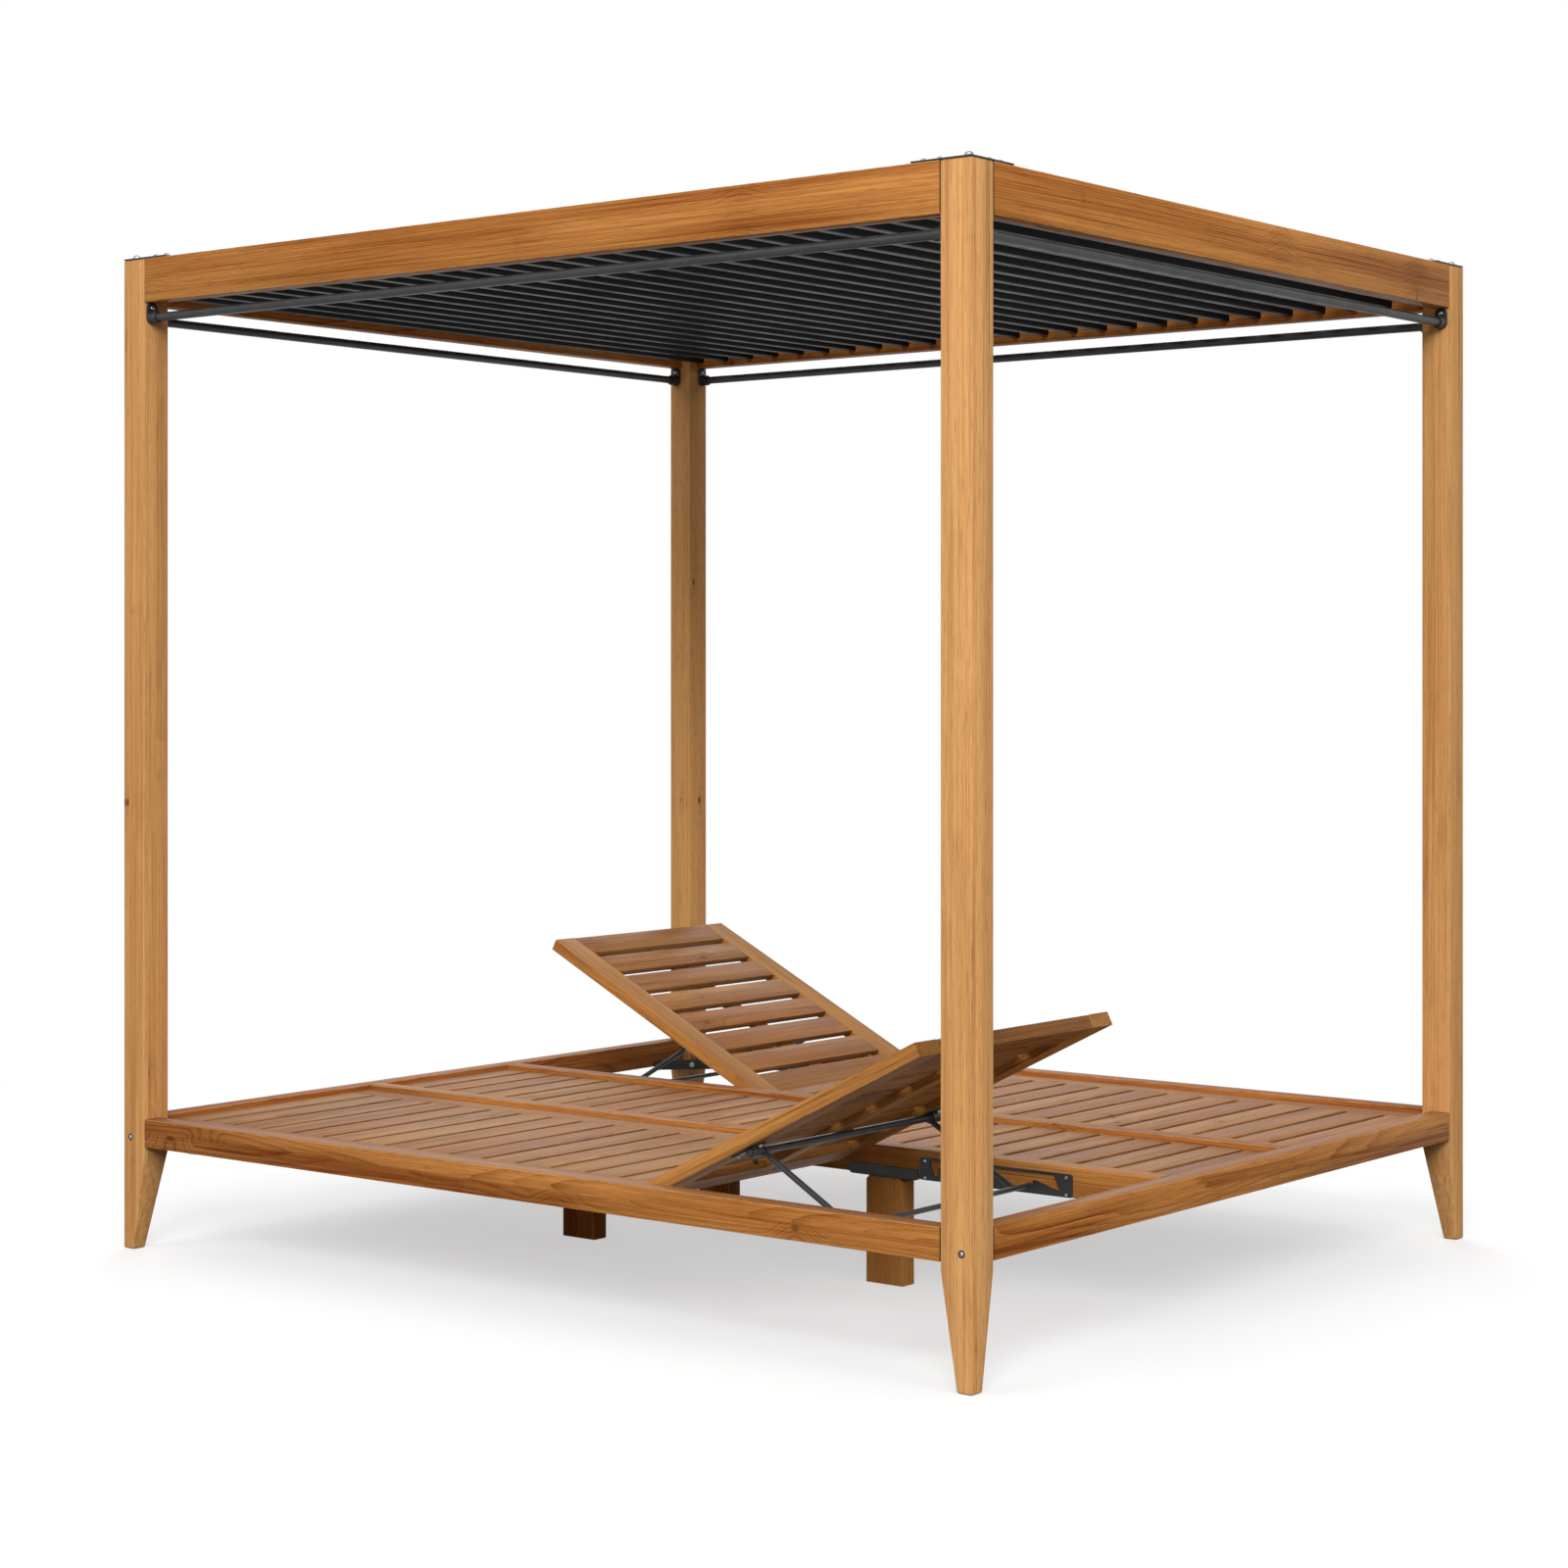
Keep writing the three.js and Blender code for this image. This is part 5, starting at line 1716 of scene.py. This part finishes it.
@dataclass
class Lounge:
    """The moving half of one lounge: the raised backrest, its stay and what holds them."""

    shop: Workshop
    side: Side
    angle: float = math.radians(26.5)
    length: float = 0.690
    boards: int = 8
    gap: float = 0.020
    thickness: float = 0.026
    stile: float = 0.064
    fit: float = 0.0003
    bracket_width: float = 0.026
    bracket_long: float = 0.048
    bracket_short: float = 0.024
    bracket_corner: float = 0.006
    bracket_steps: int = 4
    bracket_screw: ScrewHead = ScrewHead(0.0046, 0.0046, Drive.CROSS)
    screw_insets: Pair = (0.0085, 0.0075)
    eye_wall: float = 0.0035
    eye_fit: float = 0.00035
    eye_ease: float = 0.0008
    tube: float = 0.007
    tube_ease: float = 0.0012
    strut: float = 0.0055
    strut_ease: float = 0.0005
    rod: float = 0.005
    rod_ease: float = 0.0010
    pivot_ease: float = 0.0006
    tube_overhang: float = 0.004
    strut_gap: float = 0.002
    tube_weld: float = 0.0022
    rod_weld: float = 0.0006
    weld_core_share: float = 0.6
    weld_start_share: float = 0.55
    weld_toe: float = 0.001
    weld_slope: tuple[Pair, ...] = ((0.8, 0.0004), (0.3, 0.0022))
    weld_reach: float = 0.0030

    def build(self) -> None:
        """Builds the backrest, its brackets, the stay and the pivot rod."""
        name, turn, body = self.side.value, self.side.turn, f"backrest_{self.side.value}_body"
        joints = self.shop.joints
        hinge, pivot = joints["backrest_front_hinge"], joints["stay_front_pivot"]
        width = box_of("backrest_front")[3].y
        raised = turn @ shift(hinge) @ Matrix.Rotation(-self.angle, 4, "Y")
        draft = Draft()
        top = raised @ shift((0, 0, self.thickness / 2))
        panel = SlattedPanel(self.shop, self.boards, self.gap)
        panel.fill(draft, self.length, width, top, rounded=True)
        self.shop.place(draft, f"backrest_{name}_timber", SLAT_TEAK, f"backrest_{name}", body)
        offset = width / 2 - self.stile / 2
        self.brackets(raised, raised.inverted() @ (turn @ pivot), offset, body)
        self.stay(pivot, offset)
        size = box_of("pivot_rod_front")[3]
        rod = round_bar(size.y, size.z / 2, self.pivot_ease, ROD_SIDES)
        draft = Draft().absorb(rod, turn @ aim(hinge, Y_AXIS))
        self.shop.place(draft, f"pivot_rod_{name}_steel", STAINLESS, f"pivot_rod_{name}")

    def brackets(self, raised: Matrix, pivot: Vector, offset: float, body: str) -> None:
        """Builds the two clamps under the stiles.

        Args:
            raised: The matrix from the backrest's frame to the daybed's frame.
            pivot: The stay's pivot in the backrest's frame.
            offset: The clamps' distance from the backrest's middle.
            body: The body that they ride on.
        """
        name = f"stay_bracket_{self.side.value}"
        underside = -self.thickness / 2 - self.fit
        length = self.bracket_long + self.bracket_short
        start, foot = pivot.x - self.bracket_long, underside - SHEET
        bore, neck_height = self.tube + self.eye_fit, underside - pivot.z
        outer = bore + self.eye_wall
        neck_size = Vector((self.eye_wall, self.bracket_width, neck_height))
        screws = (start + self.screw_insets[0], start + length - self.screw_insets[1])
        seats = []
        for y, place_name in ((-offset, "outer"), (offset, "inner")):
            node = f"{name}_{place_name}"
            plan = (length, self.bracket_width, self.bracket_corner, self.bracket_steps)
            outline = rounded_rectangle(*plan)
            place = raised @ shift((start + length / 2, y, foot))
            draft = Draft().absorb(cut_sheet(outline, SHEET, SHEET_EASE), place)
            profile = tube_profile(bore, outer, self.bracket_width / 2, self.eye_ease)
            eye = raised @ aim((pivot.x, y, pivot.z), Y_AXIS)
            draft.absorb(turned(profile, TUBE_SIDES, hollow=True), eye)
            for end in (-1, 1):
                x = pivot.x + end * (outer - self.eye_wall / 2)
                neck = raised @ shift((x, y, pivot.z + neck_height / 2))
                draft.absorb(eased_block(neck_size, self.eye_ease), neck)
            self.shop.place(draft, f"{node}_clamp", CHARCOAL_COAT, node, body)
            seats += [raised @ aim((x, y, foot), DOWN) for x in screws]
        self.shop.screws(f"{name}_screws", seats, self.bracket_screw, body)

    def stay(self, pivot: Vector, offset: float) -> None:
        """Builds the stay: tube, struts with weld beads, and lower rod.

        Args:
            pivot: The stay's pivot on the front lounge.
            offset: The brackets' distance from the backrest's middle.
        """
        low, high, _, size = box_of("stay_front")
        along = Vector((high.x - self.rod, pivot.y, low.z + self.rod)) - pivot
        length, slope = along.length, math.atan2(-along.z, along.x)
        place = self.side.turn @ shift(pivot) @ Matrix.Rotation(slope, 4, "Y")
        half = offset + self.bracket_width / 2 + self.tube_overhang
        strut_y = offset - self.bracket_width / 2 - self.strut_gap - self.strut
        cross = round_bar(2 * half, self.tube, self.tube_ease)
        lower = round_bar(size.y, self.rod, self.rod_ease)
        draft = Draft().absorb(cross, place @ aim(ORIGIN, Y_AXIS))
        draft.absorb(lower, place @ aim((length, 0, 0), Y_AXIS))
        ends = ((0.0, 1, self.tube, self.tube_weld), (length, -1, self.rod, self.rod_weld))
        for y in (-strut_y, strut_y):
            strut = round_bar(length, self.strut, self.strut_ease)
            draft.absorb(strut, place @ aim((length / 2, y, 0), X_AXIS))
            for x, toward, radius, swell in ends:
                draft.absorb(self.weld(radius, swell), place @ aim((x, y, 0), (toward, 0, 0)))
        node = f"stay_{self.side.value}"
        self.shop.place(draft, f"{node}_tubes", CHARCOAL_COAT, node, f"{node}_body")

    def weld(self, tube: float, swell: float) -> Part:
        """Makes the bead of weld round a strut's end.

        Args:
            tube: The radius of the tube that the strut stands on.
            swell: How far the bead stands out of the strut.

        Returns:
            The bead, round Z.
        """
        start, core = tube * self.weld_start_share, self.strut * self.weld_core_share
        profile = [(core, start), (self.strut + swell, start + self.weld_toe)]
        profile += [(self.strut + swell * share, tube + reach) for share, reach in self.weld_slope]
        return turned([*profile, (core, tube + self.weld_reach)], ROD_SIDES)


@dataclass
class NotchedPlates:
    """The plates whose teeth catch the stays' lower rods."""

    shop: Workshop
    left_bar: float = 0.023
    right_bar: float = 0.028
    top_bar: float = 0.005
    floor_bar: float = 0.010
    pitch: float = 0.109
    count: int = 3
    rise: float = 0.016
    tooth: float = 0.062
    blunting: float = 0.002
    pocket: float = 0.020
    hook: float = 0.009
    slant: float = 0.012
    corner: float = 0.005
    corner_steps: int = 5
    blunting_share: float = 0.4
    screw: ScrewHead = ScrewHead(0.0032, 0.0009, Drive.CROSS)
    hook_curve: tuple[Pair, ...] = (
        (0.0, 1.0),
        (0.05, 0.86),
        (0.12, 0.72),
        (0.34, 0.46),
        (0.72, 0.24),
        (0.93, 0.08),
        (1.0, 0.0),
    )

    def window(self, left: float, right: float, floor: float, top: float) -> Outline:
        """Places the window's outline.

        Args:
            left: Its left end.
            right: Its right end.
            floor: Its floor.
            top: Its top.

        Returns:
            The outline, in the plate's X and Z.
        """
        points = [(left + self.hook * a, floor + (top - floor) * b) for a, b in self.hook_curve]
        for i in range(self.count):
            face, tip, blunt = left + self.pocket + i * self.pitch, floor + self.rise, self.blunting
            part = blunt * self.blunting_share
            points += [(face, floor), (face, tip - blunt), (face + part, tip - part)]
            points += [(face + blunt, tip), (min(face + self.tooth, right), floor)]
        points += [(right, floor), (right - self.slant, top)]
        return [p for i, p in enumerate(points) if i == 0 or p != points[i - 1]]

    def build(self) -> None:
        """Builds the four plates."""
        for side in Side:
            for place_name, outward in (("outer", 1), ("inner", -1)):
                self.plate(side, place_name, outward)

    def plate(self, side: Side, place_name: str, outward: int) -> None:
        """Builds one plate and its screws.

        Args:
            side: The lounge.
            place_name: Which of the lounge's two plates it is.
            outward: The direction along Y that it faces on the front lounge.
        """
        low, high, middle, size = box_of(f"notch_plate_front_{place_name}")
        back = low.y if outward > 0 else high.y
        left, right = low.x + self.left_bar, high.x - self.right_bar
        window = self.window(left, right, low.z + self.floor_bar, high.z - self.top_bar)
        edge = rounded_rectangle(size.x, size.z, self.corner, self.corner_steps)
        edge = [(middle.x + x, middle.z + z) for x, z in edge]
        part = cut_sheet(edge, SHEET, SHEET_EASE, [window])
        upright = Matrix((X_AXIS, (0, 0, outward), Y_AXIS)).to_4x4()
        node = f"notch_plate_{side.value}_{place_name}"
        draft = Draft().absorb(part, side.turn @ shift((0.0, back, 0.0)) @ upright)
        self.shop.place(draft, f"{node}_sheet", CHARCOAL_COAT, node)
        upper, lower = high.z - 2 * self.screw.radius, low.z + self.floor_bar / 2
        ends = (low.x + self.left_bar / 2, high.x - self.right_bar / 2)
        spots = [(x, z) for x in ends for z in (upper, lower)]
        foot = left + self.pocket + self.tooth
        spots += [(foot + i * self.pitch, lower) for i in range(self.count - 1)]
        seats = [side.turn @ aim((x, back + outward * SHEET, z), (0, outward, 0)) for x, z in spots]
        self.shop.screws(f"{node}_screws", seats, self.screw)


# Studio


@dataclass(frozen=True)
class Lamp:
    """A square softbox."""

    name: str
    place: Point
    size: float
    power: float

    def hang(self, target: Vector) -> None:
        """Hangs the lamp.

        Args:
            target: The point that it is aimed at.
        """
        data = bpy.data.lights.new(self.name, "AREA")
        data.shape, data.size, data.energy = "SQUARE", self.size, self.power
        lamp = in_scene(self.name, data)
        lamp.location = self.place
        lamp.rotation_mode = "QUATERNION"
        lamp.rotation_quaternion = (target - Vector(self.place)).to_track_quat("-Z", "Y")


@dataclass(frozen=True)
class Studio:
    """The floor, the light and the camera."""

    floor_size: float = 60.0
    floor_drop: float = 0.0004
    floor_colour: str = "BCBCBC"
    floor_unseen: str = "6C6C6C"
    floor_lift: float = 0.53
    fade: Pair = (1.6, 3.4)
    world_fill: float = 0.34
    target: Point = (0.0, 0.0, 0.7)
    lamps: tuple[Lamp, ...] = (
        Lamp("lamp_top", (-0.8, 1.0, 6.0), 5.0, 110.0),
        Lamp("lamp_left", (-3.8, -10.4, 6.8), 5.5, 250.0),
        Lamp("lamp_right", (10.8, -2.6, 6.8), 5.5, 300.0),
        Lamp("lamp_key", (6.2, -9.0, 6.8), 5.5, 960.0),
        Lamp("lamp_back", (-6.5, 8.0, 6.8), 5.5, 330.0),
    )
    focal_pixels: float = 3170.0
    picture_pixels: float = 1600.0
    horizon_pixels: float = 683.7
    sensor_width: float = 36.0
    clip_end: float = 200.0
    camera_place: Point = (3.999, -5.137, 1.200)
    camera_turn: float = math.radians(38.18)

    def build(self) -> None:
        """Builds the whole studio."""
        self.set_world()
        self.lay_floor()
        for lamp in self.lamps:
            lamp.hang(Vector(self.target))
        self.aim_camera()
        bpy.context.scene.view_settings.view_transform = "Standard"

    def set_world(self) -> None:
        """Sets a white surround that fills the shadows softly."""
        world = bpy.data.worlds.new("studio_world")
        bpy.context.scene.world = world
        world.use_nodes = True
        bench = Bench(world.node_tree)
        seen, fill = self.seen_rays(bench), self.world_fill
        strength = bench.math("MULTIPLY_ADD", seen, 1.0 - fill, fill)
        shader = bench.add("Background", {"Color": WHITE, "Strength": strength})
        bench.add("OutputWorld", {"Surface": shader.outputs[0]})

    def seen_rays(self, bench: Bench) -> Socket:
        """Gives 1 for the camera's rays, and for those off gloss and through glass.

        Args:
            bench: The tree's bench.

        Returns:
            The mask.
        """
        light = bench.add("LightPath").outputs
        seen = bench.math("MAXIMUM", light["Is Camera Ray"], light["Is Glossy Ray"])
        return bench.math("MAXIMUM", seen, light["Is Transmission Ray"])

    def lay_floor(self) -> None:
        """Lays the floor, which fades to plain white away from the daybed."""
        half, z = self.floor_size / 2, -self.floor_drop
        mesh = bpy.data.meshes.new("studio_floor")
        corners = [(-half, -half, z), (half, -half, z), (half, half, z), (-half, half, z)]
        mesh.from_pydata(corners, [], [(0, 1, 2, 3)])
        material, bench = new_material("studio_floor")
        place = bench.add("TexCoord").outputs["Object"]
        away = bench.vector("LENGTH", bench.vector("MULTIPLY", place, (1.0, 1.0, 0.0)))
        seen = self.seen_rays(bench)
        shade = bench.mix(seen, linear(self.floor_unseen), linear(self.floor_colour))
        matt = bench.add("BsdfDiffuse", {"Color": shade})
        glow = bench.add("Emission", {"Color": WHITE, "Strength": 1.0})
        strength = bench.math("MULTIPLY", seen, self.floor_lift)
        lift = bench.add("Emission", {"Color": WHITE, "Strength": strength})
        lit = bench.add("AddShader", {0: matt.outputs[0], 1: lift.outputs[0]})
        share = bench.math("MULTIPLY", bench.remap(away, *self.fade), seen)
        mixed = bench.add("MixShader", {0: share, 1: lit.outputs[0], 2: glow.outputs[0]})
        bench.add("OutputMaterial", {"Surface": mixed.outputs[0]})
        mesh.materials.append(material)
        in_scene("studio_floor", mesh)

    def aim_camera(self) -> None:
        """Sets the camera level, where the photograph was taken from."""
        data = bpy.data.cameras.new("camera")
        data.sensor_width = self.sensor_width
        data.lens = self.focal_pixels / self.picture_pixels * self.sensor_width
        data.shift_y = (self.horizon_pixels - self.picture_pixels / 2) / self.picture_pixels
        data.clip_end = self.clip_end
        camera = in_scene("camera", data)
        camera.location = self.camera_place
        camera.rotation_euler = (math.pi / 2, 0.0, self.camera_turn)
        bpy.context.scene.camera = camera


def main() -> None:
    """Builds the finishes, every sub-assembly in order and the studio."""
    logging.basicConfig(level=logging.INFO, format="%(name)s: %(message)s")
    for thing in list(bpy.data.objects):
        bpy.data.objects.remove(thing)
    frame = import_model()
    effects = Effects()
    joints = {joint["name"]: Vector(joint["pos_m"]) for joint in frame["joints"]}
    shop = Workshop({finish.name: finish.make(effects) for finish in FINISHES}, joints)
    upper = (Posts, StraightTimbers, CornerPlates, LouvreBank, CurtainRods)
    for kind in (*upper, CornerBrackets, SupportLegs, Seats):
        kind(shop).build()
    for side in Side:
        Lounge(shop, side).build()
    NotchedPlates(shop).build()
    Studio().build()
    LOG.info("%d pieces", len(shop.made))


if __name__ == "__main__":
    main()
